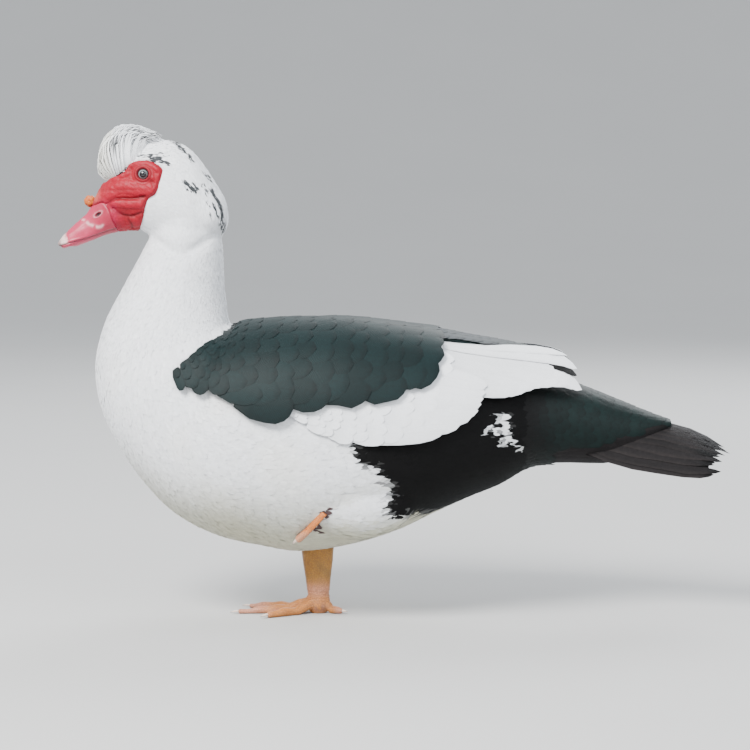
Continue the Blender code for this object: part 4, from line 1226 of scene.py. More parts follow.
# Dark flecks of the head, seen from the side: X, Z of both ends, half width and strength.
FLECKS: Rows = (
    (-277.5, 470, -280, 464, 1.6, 0.9),
    (-281, 466, -284, 460, 1.3, 0.8),
    (-286, 459, -292, 455.5, 1.5, 0.8),
    (-268, 478, -262, 480, 1.2, 0.6),
    (-262, 477, -256, 478, 1.5, 0.7),
    (-256, 475, -246, 476, 2.2, 0.9),
    (-250, 479, -244, 481, 1.4, 0.7),
    (-245, 473, -236, 471, 1.6, 0.7),
    (-241, 477, -237, 479, 1.2, 0.5),
    (-240, 497, -226, 488, 1.5, 0.7),
    (-231, 493, -222, 485, 1.8, 0.8),
    (-216, 481, -212, 476, 1.6, 0.7),
    (-219, 453, -208, 445, 1.7, 1.0),
    (-216, 446, -211, 453, 1.2, 0.8),
    (-210, 452, -206, 447, 1.6, 0.9),
    (-200, 451, -196, 443, 1.3, 0.7),
    (-200, 463, -194, 456, 1.3, 0.6),
    (-192, 446, -187, 436, 1.4, 0.95),
    (-186, 437, -181, 424, 1.3, 0.9),
    (-190, 432, -184, 418, 1.1, 0.8),
    (-194, 430, -190, 418, 1.5, 0.6),
    (-181, 422, -177, 408, 1.2, 0.8),
    (-181, 412, -178, 402, 1.2, 0.7),
)


# Pale streaks in the black rump, seen from the side as lines of X, Z with their half widths.
RUMP_STREAKS = (
    (((95, 213), (99, 203), (101, 187)), 5.5),
    (((84, 199), (96, 202)), 4.5),
    (((101, 187), (122, 173)), 2.2),
)
# Painted shade in the gap in the belly's feathers beside the drawn-up foot, tinted red-brown like
# the web behind it.
FOOT_GAP_SHADE = ((-75, 119), (-84, 109), (-91, 101))
FLECK_TINT = np.array((0.007, 0.011, 0.015))
# The colour of that painted shade.
GAP_SHADE_TINT = np.array((0.045, 0.016, 0.018))


class Markings:
    """The colours of the plumage, which the skin and its coat share."""

    def colour(self, points: Array, normals: Array, seed: int, crisp: bool = False) -> Array:
        """Colours of points on the body, neck and head.

        Args:
            points: Places in millimetres.
            normals: Outward normals there.
            seed: The start of the chance values.
            crisp: Whether a fleck makes whole feathers dark, by chance, and leaves others pale.

        Returns:
            Colours, one row a point.
        """
        x, y, z = points.T
        dice = np.random.default_rng(seed)
        tone = 1 + dice.normal(0, 0.03, len(points))
        colours = WHITE * tone[:, None]
        # Painted shade: the more the skin low on the body faces down, the more it takes the shaded
        # cream.
        belly = ramp(-normals[:, 2], 0.1, 0.85) * (1 - ramp(z, 120, 230))
        colours = washed(colours, SHADED_CREAM * tone[:, None], 0.9 * belly)
        warm = ramp(ripple(points, 90, 5), 0.1, 1.2) * ramp(z, 60, 110) * (1 - ramp(z, 230, 300))
        colours *= 1 - 0.05 * warm[:, None] * np.array([0.3, 0.6, 1.5])
        edge = ripple(points, 16, 7) * 4
        signed = signed_distance(RUMP_LINE, ((500, 60), (500, 340)), x, z)
        black = ramp(signed + edge, -3, 3)
        patch = np.min([distance_to(line, x, z) / half for line, half in RUMP_STREAKS], axis=0)
        patch = patch + ripple(points, 9, 3) * 0.1
        black *= 1 - (1 - ramp(patch, 0.75, 1.1)) * (np.abs(y) > 20)
        green = ramp(x, 110, 190)[:, None]
        depth = 0.8 + 0.4 * dice.random(len(points))
        dark = blend(BLACK, GREEN_BLACK, green) * depth[:, None]
        colours = washed(colours, dark, black)
        fleck = streaked(FLECKS, x, z, 1.5) * (z > 375)
        if crisp:
            fleck = ramp(fleck - 0.75 * dice.random(len(points)), 0.02, 0.22)
        else:
            fleck = fleck * 0.5
        colours = washed(colours, FLECK_TINT, fleck * 0.98)
        # Painted shade: feathers near the line of the gap take its dark red-brown.
        gap = 1 - ramp(distance_to(FOOT_GAP_SHADE, x, z), 5.0, 6.5)
        gap *= (y < -30) & (z < 135)
        return washed(colours, GAP_SHADE_TINT, gap * 0.98)


class Ground:
    """The finished skin as a surface to lay small feathers on."""

    def __init__(self, item: Item) -> None:
        """Read the skin's mesh, in millimetres."""
        self.points = points_of(item)
        self.normals = normals_of(item)
        item.data.calc_loop_triangles()
        corners = np.empty(len(item.data.loop_triangles) * 3, np.int32)
        item.data.loop_triangles.foreach_get("vertices", corners)
        self.corners = corners.reshape(-1, 3)
        self.tree = BVHTree.FromPolygons(self.points.tolist(), self.corners.tolist())

    def nearest(self, places: Array) -> tuple[Array, Array]:
        """The skin's points nearest to places, and its smooth normals there."""
        flat_places = places.reshape(-1, 3)
        found = np.empty_like(flat_places)
        faces = np.empty(len(flat_places), int)
        for k, place in enumerate(flat_places.tolist()):
            hit, _, face, _ = self.tree.find_nearest(place)
            found[k] = hit
            faces[k] = face
        a, b, c = (self.points[self.corners[faces, k]] for k in range(3))
        whole = np.cross(b - a, c - a)
        area = np.maximum((whole**2).sum(-1), 1e-12)
        wa = (np.cross(b - found, c - found) * whole).sum(-1) / area
        wb = (np.cross(c - found, a - found) * whole).sum(-1) / area
        weights = np.clip(np.stack([wa, wb, 1 - wa - wb], -1), 0, 1)
        normals = sum(self.normals[self.corners[faces, k]] * weights[:, k, None] for k in range(3))
        return found.reshape(places.shape), unit(normals).reshape(places.shape)


@dataclass
class Skin:
    """The one skin of body, neck, head and rump, which lies under all feathers."""

    voxel: float = 2.5
    rounds: int = 8
    body_depth: float = 2.2
    head_depth: float = 1.6
    mask_depth: float = 3.0
    cheek_rise: float = 3.2
    fold_depth: float = 2.4
    nape_rise: float = 6.0
    fold_line: Rows = (
        (-262, 397), (-250, 393), (-241, 386), (-231, 380), (-219, 378), (-206, 383),
        (-194, 392), (-184, 402),
    )
    # Centres and radii of the four swellings of the crest's core, of the brow and of a thigh.
    swellings: tuple[Rows, ...] = (
        ((-294.8, 0.0, 477), (11.0, 9.5, 24.0)),
        ((-287.0, 0.0, 491), (12.0, 10.0, 14.0)),
        ((-268.0, 0.0, 489), (15.5, 12.5, 17.0)),
        ((-252.0, 0.0, 484), (17.0, 13.0, 15.5)),
        ((-292, 0, 461), (8.5, 9, 6)),
        ((-40, -66, 128), (62, 30, 42)),
    )
    markings: Markings = field(default_factory=Markings)

    def ring_points(self) -> list[Array]:
        """Rings of the trunk, the head and its swellings, and both thighs."""
        along = np.arange(TRUNK[0][0], TRUNK[-1][0] + 1, 4.0)
        turns = np.linspace(0, 360, 72, endpoint=False)
        body = trunk(along[:, None], turns[None, :])
        x = np.arange(-349, HEAD[-1][0] + 0.5, 2.5)
        skull = head(x[:, None], turns[None, :])
        balls = [self.ball(centre, radii) for centre, radii in self.swellings]
        other = balls[-1] * np.array([1, -1, 1])
        return [body, skull, *balls, other[:, ::-1]]

    def ball(self, centre: tuple[float, ...], radii: tuple[float, ...]) -> Array:
        """Rings of an egg with its poles in X."""
        tips = np.linspace(0, math.pi, 14)[1:-1, None]
        around = np.linspace(0, 2 * math.pi, 24, endpoint=False)[None, :]
        x = centre[0] - radii[0] * np.cos(tips) + 0 * around
        y = centre[1] - radii[1] * np.sin(tips) * np.sin(around)
        z = centre[2] + radii[2] * np.sin(tips) * np.cos(around)
        return np.stack([x, y, z], -1)

    def build(self) -> Item:
        """Make the skin, smooth it and sink it to its depth under the feathers."""
        down = DownFinish("down").make()
        rings = enumerate(self.ring_points())
        pieces = [closed_loft(f"form_{k}", ring, down) for k, ring in rings]
        bpy.ops.object.select_all(action="DESELECT")
        for piece in pieces:
            piece.select_set(True)
        item = pieces[0]
        bpy.context.view_layer.objects.active = item
        bpy.ops.object.join()
        item.name = item.data.name = "skin"
        one_surface(item, self.voxel, self.rounds)
        points, normals = points_of(item), normals_of(item)
        depth = blend(self.body_depth, self.head_depth, ramp(points[:, 2], 340, 400))
        bare = mask_share(points[:, 0], points[:, 2], 2.0) * (points[:, 2] > 370)
        points = points - normals * (depth + self.mask_depth * bare)[:, None]
        points = points + normals * self.jowl(points)[:, None]
        move_points(item, points)
        paint(item, "plume", self.markings.colour(points, normals_of(item), 3))
        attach(item, "root")
        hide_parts("torso", "neck", "head", "rump")
        LOG.info("skin: %d points", len(points))
        return item

    def jowl(self, points: Array) -> Array:
        """The full cheek over the neck, and the fold under it."""
        x, z = points[:, 0], points[:, 2]
        side = ramp(np.abs(points[:, 1]), 6, 18)
        cheek = np.clip(1 - ((x + 222) / 24) ** 2 - ((z - 399) / 15) ** 2, 0, None) ** 0.8
        fold = bell(distance_to(rounded(self.fold_line), x, z), 0, 4.5)
        nape = bell(z, 413, 21) * ramp(x, -206, -188)
        return (self.cheek_rise * cheek - self.fold_depth * fold) * side + self.nape_rise * nape


def unwrapped(points: Array) -> Array:
    """Places of points on an unwrap of the skin, from 0 to 1."""
    axis = 190 + 0.9 * np.maximum(0, -points[:, 0] - 180)
    turn = np.arctan2(points[:, 1], points[:, 2] - axis)
    run = points[:, 0] - 0.9 * (points[:, 2] - 200)
    low, high = -680.0, 360.0
    return np.stack([(run - low) / (high - low), turn / (2 * math.pi) + 0.5], -1) * 0.98 + 0.01


@dataclass(frozen=True)
class Tract:
    """One region of small feathers: how close they root, and how long and wide they are."""

    name: str
    spacing: float
    length: float
    width: float
    lift: tuple[float, float]
    vane: Vane = SMALL_VANE


@dataclass
class Coat:
    """The small feathers of head, neck, body and rump."""

    ground: Ground
    markings: Markings = field(default_factory=Markings)
    head_tract: Tract = Tract(
        "coat_head", spacing=1.6, length=7.5, width=1.9, lift=(-0.3, 0.5)
    )
    neck_tract: Tract = Tract(
        "coat_neck", spacing=2.2, length=12.5, width=2.8, lift=(-0.4, 0.6)
    )
    breast_tract: Tract = Tract(
        "coat_breast", spacing=3.0, length=18.0, width=4.6, lift=(-0.5, 0.7), vane=SOFT_VANE
    )
    belly_tract: Tract = Tract(
        "coat_belly", spacing=3.5, length=22.0, width=5.8, lift=(-0.6, 0.8), vane=SOFT_VANE
    )
    rump_tract: Tract = Tract(
        "coat_rump", spacing=3.4, length=20.0, width=6.4, lift=(-0.5, 0.9), vane=SOFT_VANE
    )
    silk: float = 0.78
    ring_parts: int = 48

    def build(self) -> list[Item]:
        """Make all tracts."""
        white = FeatherFinish(
            "white_plumage", roughness=0.75, sheen=0.2, barbs=70, depth=0.06, shaft=0.04,
            contrast=0.10,
        ).make()
        dark = FeatherFinish(
            "black_plumage", roughness=0.65, sheen=0.01, barbs=70, depth=0.12, shaft=0.1,
            contrast=0.35, gloss=(0.6, 0.9, 0.9), specular=0.12,
        ).make()
        made = [self.tract(self.head_tract, *self.head_roots(), white, Slot.BODY)]
        for tract, start, end in ((self.neck_tract, -388, -268), (self.breast_tract, -268, -150)):
            made.append(self.tract(tract, *self.body_roots(tract, start, end), white, Slot.BODY))
        roots, aims = self.body_roots(self.belly_tract, -150, 215)
        black = self.is_black(roots)
        made.append(self.tract(self.belly_tract, roots[~black], aims[~black], white, Slot.BODY))
        roots, aims = self.body_roots(self.rump_tract, -60, 215)
        black = self.is_black(roots)
        made.append(self.tract(self.rump_tract, roots[black], aims[black], dark, Slot.RUMP))
        return made

    def is_black(self, roots: Array) -> Array:
        """Which roots lie in the black rump."""
        return self.markings.colour(roots, np.zeros_like(roots), 3)[:, 0] < 0.3

    def scatter(
        self, surface: Surface, start: float, end: float, spacing: float, seed: int
    ) -> tuple[Array, Array]:
        """Places in staggered rows with some chance, as along and turn."""
        dice = np.random.default_rng(seed)
        around = np.linspace(0, 360, self.ring_parts + 1)
        found = []
        along, row = start, 0
        while along < end:
            ring = surface(along, around)
            girth = np.linalg.norm(np.diff(ring, axis=0), axis=-1).sum()
            ahead = surface(along + 1.0, around)
            step = np.linalg.norm(ahead - ring, axis=-1)
            fill = max(1, round(girth / spacing))
            turns = (np.arange(fill) + 0.5 * (row % 2)) * 360 / fill
            turns = turns + dice.uniform(-0.42, 0.42, fill) * 360 / fill
            local = np.interp(turns % 360, around, step)
            keep = dice.random(fill) < np.clip(local / step.max(), 0, 1)
            places = along + dice.uniform(-0.45, 0.45, fill) * spacing / step.max()
            found.append(np.stack([places, turns], -1)[keep])
            along += spacing / step.max()
            row += 1
        both = np.concatenate(found)
        return both[:, 0], both[:, 1]

    def body_roots(self, tract: Tract, start: float, end: float) -> tuple[Array, Array]:
        """Roots on the trunk between two sections, and which way their feathers point."""
        along, turn = self.scatter(trunk, start, end, tract.spacing, round(end) + 900)
        signed = (turn + 180) % 360 - 180
        covered = self.covered(along, np.abs(signed))
        along, turn = along[~covered], turn[~covered]
        ahead = unit(trunk(along + 1, turn) - trunk(along - 1, turn))
        roots = trunk(along, turn)
        keep = ~((roots[:, 2] > 398) & (along < -372))
        return roots[keep], ahead[keep]

    def covered(self, along: Array, turn: Array) -> Array:
        """Which places lie well under the saddle, the wings, the dark strip or the tail."""
        saddle = (along > saddle_front(turn) + 4) & (along < 44)
        saddle &= turn < saddle_edge(along) - 7
        wing = (along > -85) & (along < 128)
        wing &= (turn > wing_edge(along, 0) + 5) & (turn < wing_edge(along, 1) - 8)
        strip = (along > 20) & (along < 140) & (turn < strip_turn(along) - 2)
        return saddle | wing | strip | (along > 200)

    def head_roots(self) -> tuple[Array, Array]:
        """Roots on the feathered part of the head, and which way their feathers point."""
        x, turn = self.scatter(head, -312, -177.5, self.head_tract.spacing, 77)
        roots = head(x, turn)
        keep = mask_share(roots[:, 0], roots[:, 2], 0.8) < 0.35
        keep &= ~((roots[:, 2] < 400) & (roots[:, 0] > -250) & (np.abs(roots[:, 1]) < 15))
        crest = ((x + 283) / 17) ** 2 + ((roots[:, 2] - 473) / 19) ** 2 < 1
        keep &= ~(crest & (np.abs(roots[:, 1]) < 7))
        roots = roots[keep]
        fall = 5 + 70 * ramp(roots[:, 0], -262, -195) + 30 * ramp(-roots[:, 2], -428, -395)
        fall = np.radians(np.minimum(fall, 85))
        aims = np.stack([np.cos(fall), 0 * fall, -np.sin(fall)], -1)
        return roots, aims

    def tract(self, tract: Tract, roots: Array, aims: Array, look: Look, slot: Slot) -> Item:
        """Lay the feathers of one tract on the skin and make them one piece."""
        dice = np.random.default_rng(len(roots))
        count = len(roots)
        start, out = self.ground.nearest(roots)
        swing = dice.normal(0, 0.16, count)[:, None]
        ahead = unit(aims - out * (aims * out).sum(-1, keepdims=True))
        ahead = unit(ahead + np.cross(out, ahead) * swing)
        shares = np.asarray(tract.vane.shares)
        size = dice.uniform(0.8, 1.2, count)
        length = tract.length * size
        places = start[:, None] + ahead[:, None] * (shares[None, :] * length[:, None])[..., None]
        first, normals = self.ground.nearest(places)
        lifts = blend(tract.lift[0], tract.lift[1], shares)[None, :]
        lifts = lifts + dice.uniform(-0.25, 0.3, count)[:, None] * shares[None, :]
        spine = first + normals * lifts[..., None]
        flock = Flock(tract.vane)
        half = tract.width / 2 * size * dice.uniform(0.85, 1.15, count)
        laid = flock.lay(spine, normals, half, dice.uniform(0.6, 1.3, count))
        colours = self.markings.colour(start + ahead * tract.length * 0.25, out, 3, True)
        _, along = tract.vane.spread(1)
        mixed = colours[:, None] * blend(0.93, 1.03, along[0])[None, :, None]
        flock.dye(mixed * (1 + dice.normal(0, 0.025, count))[:, None, None])
        flock.root_at(unwrapped(start))
        item = flock.make(tract.name, look, self.silk)
        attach(item, "root")
        LOG.info("%s: %d feathers, %d points", tract.name, count, laid.shape[0] * laid.shape[1])
        return item


@dataclass
class Crest:
    """The puffed crest: narrow locks that rise from the forehead and bend back over a dome."""

    locks: int = 900
    width: float = 2.8
    # The middle of the dome, which the outer sides of the locks face away from.
    centre: tuple[float, float, float] = (-279.0, 0.0, 470.0)
    # Root X, Z, bend X, Z, tip X, Z and half spread of rows from front to rear.
    rows: Rows = (
        (0, -294, 457, -319, 462, -302, 489, 7),
        (1, -293, 460, -319, 484, -295, 503, 11),
        (2, -289, 463, -304, 508, -284, 509.5, 13),
        (3, -281, 470, -289, 515, -269, 510.5, 14),
        (4, -270, 477, -272, 517, -253, 504, 12),
        (5, -259, 484, -258, 509, -241, 499, 10),
    )
    # Dark streaks seen from the side: X, Z of both ends, half width and strength.
    streaks: Rows = (
        (-293, 492, -287.5, 478, 2.0, 1.0),
        (-288, 492, -285.5, 480, 1.6, 1.0),
        (-278.5, 491, -275.5, 484, 1.5, 1.0),
        (-277, 504, -268, 507, 1.5, 1.0),
        (-268, 503, -258, 503, 1.6, 1.0),
        (-265, 497, -255, 499, 1.2, 1.0),
        (-262, 500, -252, 500.5, 1.4, 1.0),
        (-254, 503.5, -244, 499, 1.8, 1.0),
    )

    def build(self) -> Item:
        """Make the crest's locks one piece."""
        dice = np.random.default_rng(21)
        count = self.locks
        row = dice.uniform(0, 5, count)
        table = smooth_rows(self.rows, row)
        side = dice.uniform(-1, 1, count)
        scale = np.where(dice.random(count) < 0.35, dice.uniform(0.82, 0.95, count), 1.0)
        spread = table[:, 6]
        lean = dice.normal(0, 0.8, count)
        drop = 7 * side**2
        root = np.stack([table[:, 0], side * spread * 0.9, table[:, 1] - 6 * side**2], -1)
        bend = np.stack([table[:, 2] + lean, side * spread * 1.35, table[:, 3] - drop], -1)
        tip = np.stack([table[:, 4] - lean, side * spread * 0.95, table[:, 5] - drop], -1)
        bend = root + (bend - root) * scale[:, None]
        tip = root + (tip - root) * (scale * dice.uniform(0.9, 1.02, count))[:, None]
        t = np.asarray(LOCK_VANE.shares)[None, :, None]
        curve = self.bow(root, bend, tip, t)
        out = unit(curve - self.centre)
        flock = Flock(LOCK_VANE)
        flock.lay(curve, out, self.width / 2 * dice.uniform(0.7, 1.6, count))
        flock.dye(self.colours(root, bend, tip, dice))
        flock.root_at(unwrapped(root))
        look = FeatherFinish(
            "crest_plumage", roughness=0.72, sheen=0.25, barbs=40, depth=0.06, shaft=0.04,
            contrast=0.12,
        ).make()
        item = flock.make("crest", look, silk=0.92)
        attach(item, "root")
        LOG.info("crest: %d locks", count)
        return item

    def bow(self, root: Array, bend: Array, tip: Array, t: Array) -> Array:
        """Points at shares t of the curves from root to tip."""
        first, last = root[:, None] * (1 - t) ** 2, tip[:, None] * t**2
        return first + bend[:, None] * 2 * t * (1 - t) + last

    def colours(self, root: Array, bend: Array, tip: Array, dice: np.random.Generator) -> Array:
        """White locks, some of them streaked with green-black."""
        along = LOCK_VANE.spread(1)[1][0]
        t = along[None, :, None]
        places = self.bow(root, bend, tip, t)
        dark = streaked(self.streaks, places[..., 0], places[..., 2], 1.7)
        chance = (dice.random(len(root)) < 0.55)[:, None]
        dark = dark * chance * 0.95
        rear = ramp(root[:, 0], -290, -278)[:, None]
        far = (dice.random(len(root)) < 0.05)[:, None] * ramp(t[..., 0], 0.35, 0.7) * rear
        dark = np.maximum(dark, far * 0.85)
        tone = (1 + dice.normal(0, 0.04, len(root)))[:, None, None]
        white = WHITE * tone * blend(0.92, 1.04, t)
        lock = (1 - ramp(root[:, 0], -292, -288))[:, None, None]
        white = white * blend(1.0, LOCK_WARM, lock)
        return blend(white, LOCK_DARK, dark[..., None])


def glossy_colours(vane: Vane, count: int, seed: int, blue: float = 0.0) -> Array:
    """Teal feathers with a darker scalloped edge."""
    dice = np.random.default_rng(seed)
    across, along = vane.spread(count)
    tone = dice.uniform(0.82, 1.18, count)[:, None, None]
    rim = np.maximum(ramp(np.abs(across), 0.7, 1.0) * 0.8, ramp(along, 0.88, 1.0))
    colour = blend(TEAL, BLUE, blue)
    colour = colour * tone * blend(0.85, 1.2, np.sin(along * 2.6))[..., None]
    return blend(colour, TEAL_RIM, (0.5 * rim)[..., None])


@dataclass
class Saddle:
    """The dark mantle over the shoulders, with its rows of scalloped feathers, and the strip."""

    spacing: float = 20.0
    row_step: float = 18.0
    length: float = 54.0
    width: float = 34.0
    sweep: float = 5.0
    ground_tone: float = 1.3

    def pad(self, look: Look) -> Item:
        """The closed ground under the dark feathers of both sides."""
        rows, columns = 70, 61
        share = np.linspace(-1, 1, columns)[None, :]
        front = saddle_front(share * 75) + 7
        along = blend(front, SADDLE_EDGE[-1][0] - 12, np.linspace(0, 1, rows)[:, None])
        turn = saddle_edge(along) * share * 0.985
        sunk = 0.8 + 0.9 * (1 - ramp(np.abs(turn), 32, 44))
        outer = TRUNK_HIDE.place(along, turn, saddle_outer(along, turn) - sunk)
        inner = TRUNK_HIDE.place(along, turn, saddle_inner(along, turn) - 0.5)
        item = slab("saddle_ground", outer, inner, look)
        paint(item, "plume", TEAL * self.ground_tone)
        return item

    def strip(self, look: Look) -> Item:
        """The closed ground of the strip that runs on down the back."""
        rows, columns = 40, 21
        along = np.linspace(STRIP_RIDGE[0][0], STRIP_RIDGE[-1][0], rows)[:, None]
        turn = strip_turn(along) * np.linspace(-1, 1, columns)[None, :]
        outer = TRUNK_HIDE.place(along, turn, strip_outer(along, turn) - 0.6)
        inner = TRUNK_HIDE.place(along, turn, SADDLE_LIFT)
        item = slab("strip_ground", outer, inner, look)
        paint(item, "plume", TEAL * self.ground_tone)
        return item

    def side_layout(self) -> Layout:
        """The scalloped feathers of one side, smaller on the shoulder."""
        dice = np.random.default_rng(31)
        layout = Layout()
        along, row = -236.0, 0
        while along < 52:
            size = blend(0.55, 1.0, ramp(along, -240, -120))
            edge = float(saddle_edge(along))
            turn, step = edge + 1.0, 0.0
            while turn > 2.5:
                per_turn = float(TRUNK_HIDE.scale(along, turn)[1])
                first = 0.5 * (row % 2) if step == 0 else 1.0
                step = self.spacing * float(size) / per_turn
                turn = max(turn - first * step * dice.uniform(0.8, 1.1), 2.0)
                length = self.length * size * dice.uniform(0.86, 1.15)
                tip = along + dice.uniform(-3.5, 3.5)
                front = float(saddle_front(turn))
                start = max(tip - length, front + 1)
                short = (tip - start) / length
                if short < 0.15:
                    continue
                root = (start, max(0.8, turn - self.sweep * size * short))
                width = self.width * size * short**0.7 * dice.uniform(0.86, 1.2)
                layout.add(root, (tip, turn), width)
            along += self.row_step * size
            row += 1
        return layout

    def strip_layout(self) -> Layout:
        """The feathers of the left half of the strip."""
        dice = np.random.default_rng(36)
        layout = Layout()
        for along in np.arange(44, 150, 8.5):
            edge = float(strip_turn(along))
            for turn in (edge - 2.5, edge * 0.5, 2.5):
                tip = along + dice.uniform(-3, 3)
                layout.add((max(tip - 44, 26), turn), (tip, turn), 15 * dice.uniform(0.9, 1.1))
        return layout

    def build(self) -> list[Item]:
        """Make the grounds and the feathers."""
        gloss = FeatherFinish(
            "saddle_plumage", roughness=0.55, sheen=0.01, barbs=150, depth=0.06, shaft=0.1,
            contrast=0.25, gloss=(0.35, 0.95, 0.85), specular=0.16,
        ).make()
        ground, ridge = self.pad(gloss), self.strip(gloss)
        layout = self.side_layout()
        count = len(layout.rows)
        flock = Flock(BROAD_VANE)
        flock.lay_on(
            TRUNK_HIDE, *layout.columns(), (-0.9, 0.6), saddle_outer, tilt=0.12, ragged=0.1, seed=33
        )
        flock.dye(glossy_colours(BROAD_VANE, count, 34))
        feathers = flock.make("saddle_feathers", gloss, silk=0.68, mirrored=True)
        layout = self.strip_layout()
        flock = Flock(BROAD_VANE)
        flock.lay_on(TRUNK_HIDE, *layout.columns(), (-0.8, 1.2), strip_outer, ragged=0.05, seed=37)
        flock.dye(glossy_colours(BROAD_VANE, len(layout.rows), 38, blue=0.6))
        strip_feathers = flock.make("strip_feathers", gloss, silk=0.6, mirrored=True)
        for item in (ground, ridge, feathers, strip_feathers):
            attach(item, "root")
        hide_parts("mantle_left", "mantle_right")
        LOG.info("saddle: %d feathers a side, %d on the strip", count, len(layout.rows))
        return [ground, ridge, feathers, strip_feathers]


@dataclass
class Wing:
    """The folded white wings: quills one over the other, and their rows of coverts."""

    ground_tone: float = 0.85
    # The quills' rows: root and tip as along and turn, width, and lift of the tip.
    quills: Rows = (
        (58, 62, 120, 58, 25, 1.3),
        (57, 59, 130, 57, 25, 1.4),
        (56, 56, 141, 53, 25, 1.5),
        (55, 52, 152, 50, 24, 1.7),
        (54, 48, 163, 48, 24, 1.9),
        (53, 45, 173, 46, 22, 2.1),
        (51, 42, 182, 44, 20, 2.3),
        (49, 38, 189, 42, 18, 2.5),
        (47, 31, 180, 25, 18, 3.3),
        (46, 27, 168, 17, 16, 3.5),
    )
    # Painted shadow in the gap between the two uppermost quills: a narrow vane dyed almost black,
    # laid in the gap.
    slit: Rows = ((124, 35.5, 181, 32.5, 8.5, 3.1),)
    flight: Rows = (
        (2, 52, 88, 61, 24, 2.1),
        (-2, 58, 86, 66, 24, 2.0),
        (-8, 62, 84, 70, 24, 1.9),
        (-14, 66, 82, 73.5, 24, 1.8),
        (-22, 71, 79, 77.5, 24, 1.7),
        (-30, 75.5, 73, 81, 24, 1.6),
        (-40, 80, 62, 85, 24, 1.5),
        (-50, 83, 46, 88, 23, 1.4),
    )
    # The rows of coverts from back to front: along, length and width.
    covert_rows: Rows = (
        (42, 44.0, 20.0),
        (20, 40.0, 18.0),
        (0, 34.0, 16.0),
        (-18, 28.0, 13.5),
        (-33, 24.0, 12.0),
        (-47, 21.0, 10.5),
        (-60, 18.0, 9.5),
        (-72, 16.0, 8.5),
        (-83, 14.0, 7.5),
        (-92, 13.0, 7.0),
    )

    def plate(self, look: Look) -> Item:
        """The closed ground of the left wing."""
        rows, columns = 60, 31
        along = np.linspace(WING_EDGES[0][0], WING_EDGES[-1][0], rows)[:, None]
        share = np.linspace(0.01, 0.985, columns)[None, :]
        turn = blend(wing_edge(along, 0), wing_edge(along, 1), share)
        outer = TRUNK_HIDE.place(along, turn, wing_height(along, turn) - 0.5)
        inner = TRUNK_HIDE.place(along, turn, wing_inner(along, turn))
        item = slab("wing_ground_left", outer, inner, look)
        paint(item, "plume", WHITE * self.ground_tone)
        return item

    def covert_layout(self) -> Layout:
        """The left wing's coverts, smaller towards the shoulder."""
        dice = np.random.default_rng(41)
        layout = Layout()
        for row, (along, length, width) in enumerate(self.covert_rows):
            top = max(float(wing_edge(along, 0)) + 8, 44.0)
            bottom = float(wing_edge(along, 1)) - 1.0
            per_turn = float(TRUNK_HIDE.scale(along, 70.0)[1])
            step = width * 0.62 / per_turn
            count = int((bottom - top) / step) + 1
            for k in range(count):
                turn = bottom - (k + 0.5 * (row % 2)) * step
                tip = along - 0.75 * (turn - 66) + dice.uniform(-5, 5)
                layout.add((tip - length, turn - 4.0), (tip, turn), width * dice.uniform(0.9, 1.1))
        return layout

    def colours(self, vane: Vane, count: int, seed: int, edge: float = 0.12) -> Array:
        """White feathers, a little greyer at the root and along their edges."""
        dice = np.random.default_rng(seed)
        across, along = vane.spread(count)
        tone = dice.uniform(0.965, 1.02, count)[:, None]
        shade = tone * blend(0.9, 1.02, ramp(along, 0.2, 0.8))
        shade = shade * (1 - edge * ramp(np.abs(across), 0.75, 1.0))
        return WHITE * shade[..., None]

    def build(self) -> list[Item]:
        """Make both wings."""
        down = DownFinish("wing_down", roughness=0.75).make()
        look = FeatherFinish(
            "wing_plumage", roughness=0.7, sheen=0.03, barbs=190, depth=0.05, shaft=0.06,
            contrast=0.06, specular=0.2,
        ).make()
        ground = self.plate(down)
        flock = Flock(LONG_VANE)
        for rows in (self.quills, self.flight, self.slit):
            for row in np.array(rows):
                flock.lay_quill(row, -0.6, wing_height, 0.4, 0.04, int(row[2]) + 40)
                # The slit's vane is dyed almost black: painted shadow between the quills.
                shade = 0.01 if rows is self.slit else 1.0
                flock.dye(self.colours(LONG_VANE, 1, int(row[2]) + 44) * shade)
        quills = flock.make("wing_quills", look, silk=0.6, mirrored=True)
        flock = Flock(BROAD_VANE)
        layout = self.covert_layout()
        flock.lay_on(
            TRUNK_HIDE, *layout.columns(), (-1.2, 0.4), covert_base, tilt=0.1, ragged=0.12, seed=43
        )
        flock.dye(self.colours(BROAD_VANE, len(layout.rows), 45, edge=0.03))
        coverts = flock.make("wing_coverts", look, silk=0.85, mirrored=True)
        other = mirror_of(ground, "wing_ground_right")
        for item in (ground, other, quills, coverts):
            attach(item, "root")
        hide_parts("wing_left")
        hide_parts("wing_right")
        count = len(self.quills) + len(self.flight)
        LOG.info("wings: %d quills and %d coverts a side", count, len(layout.rows))
        return [ground, other, quills, coverts]


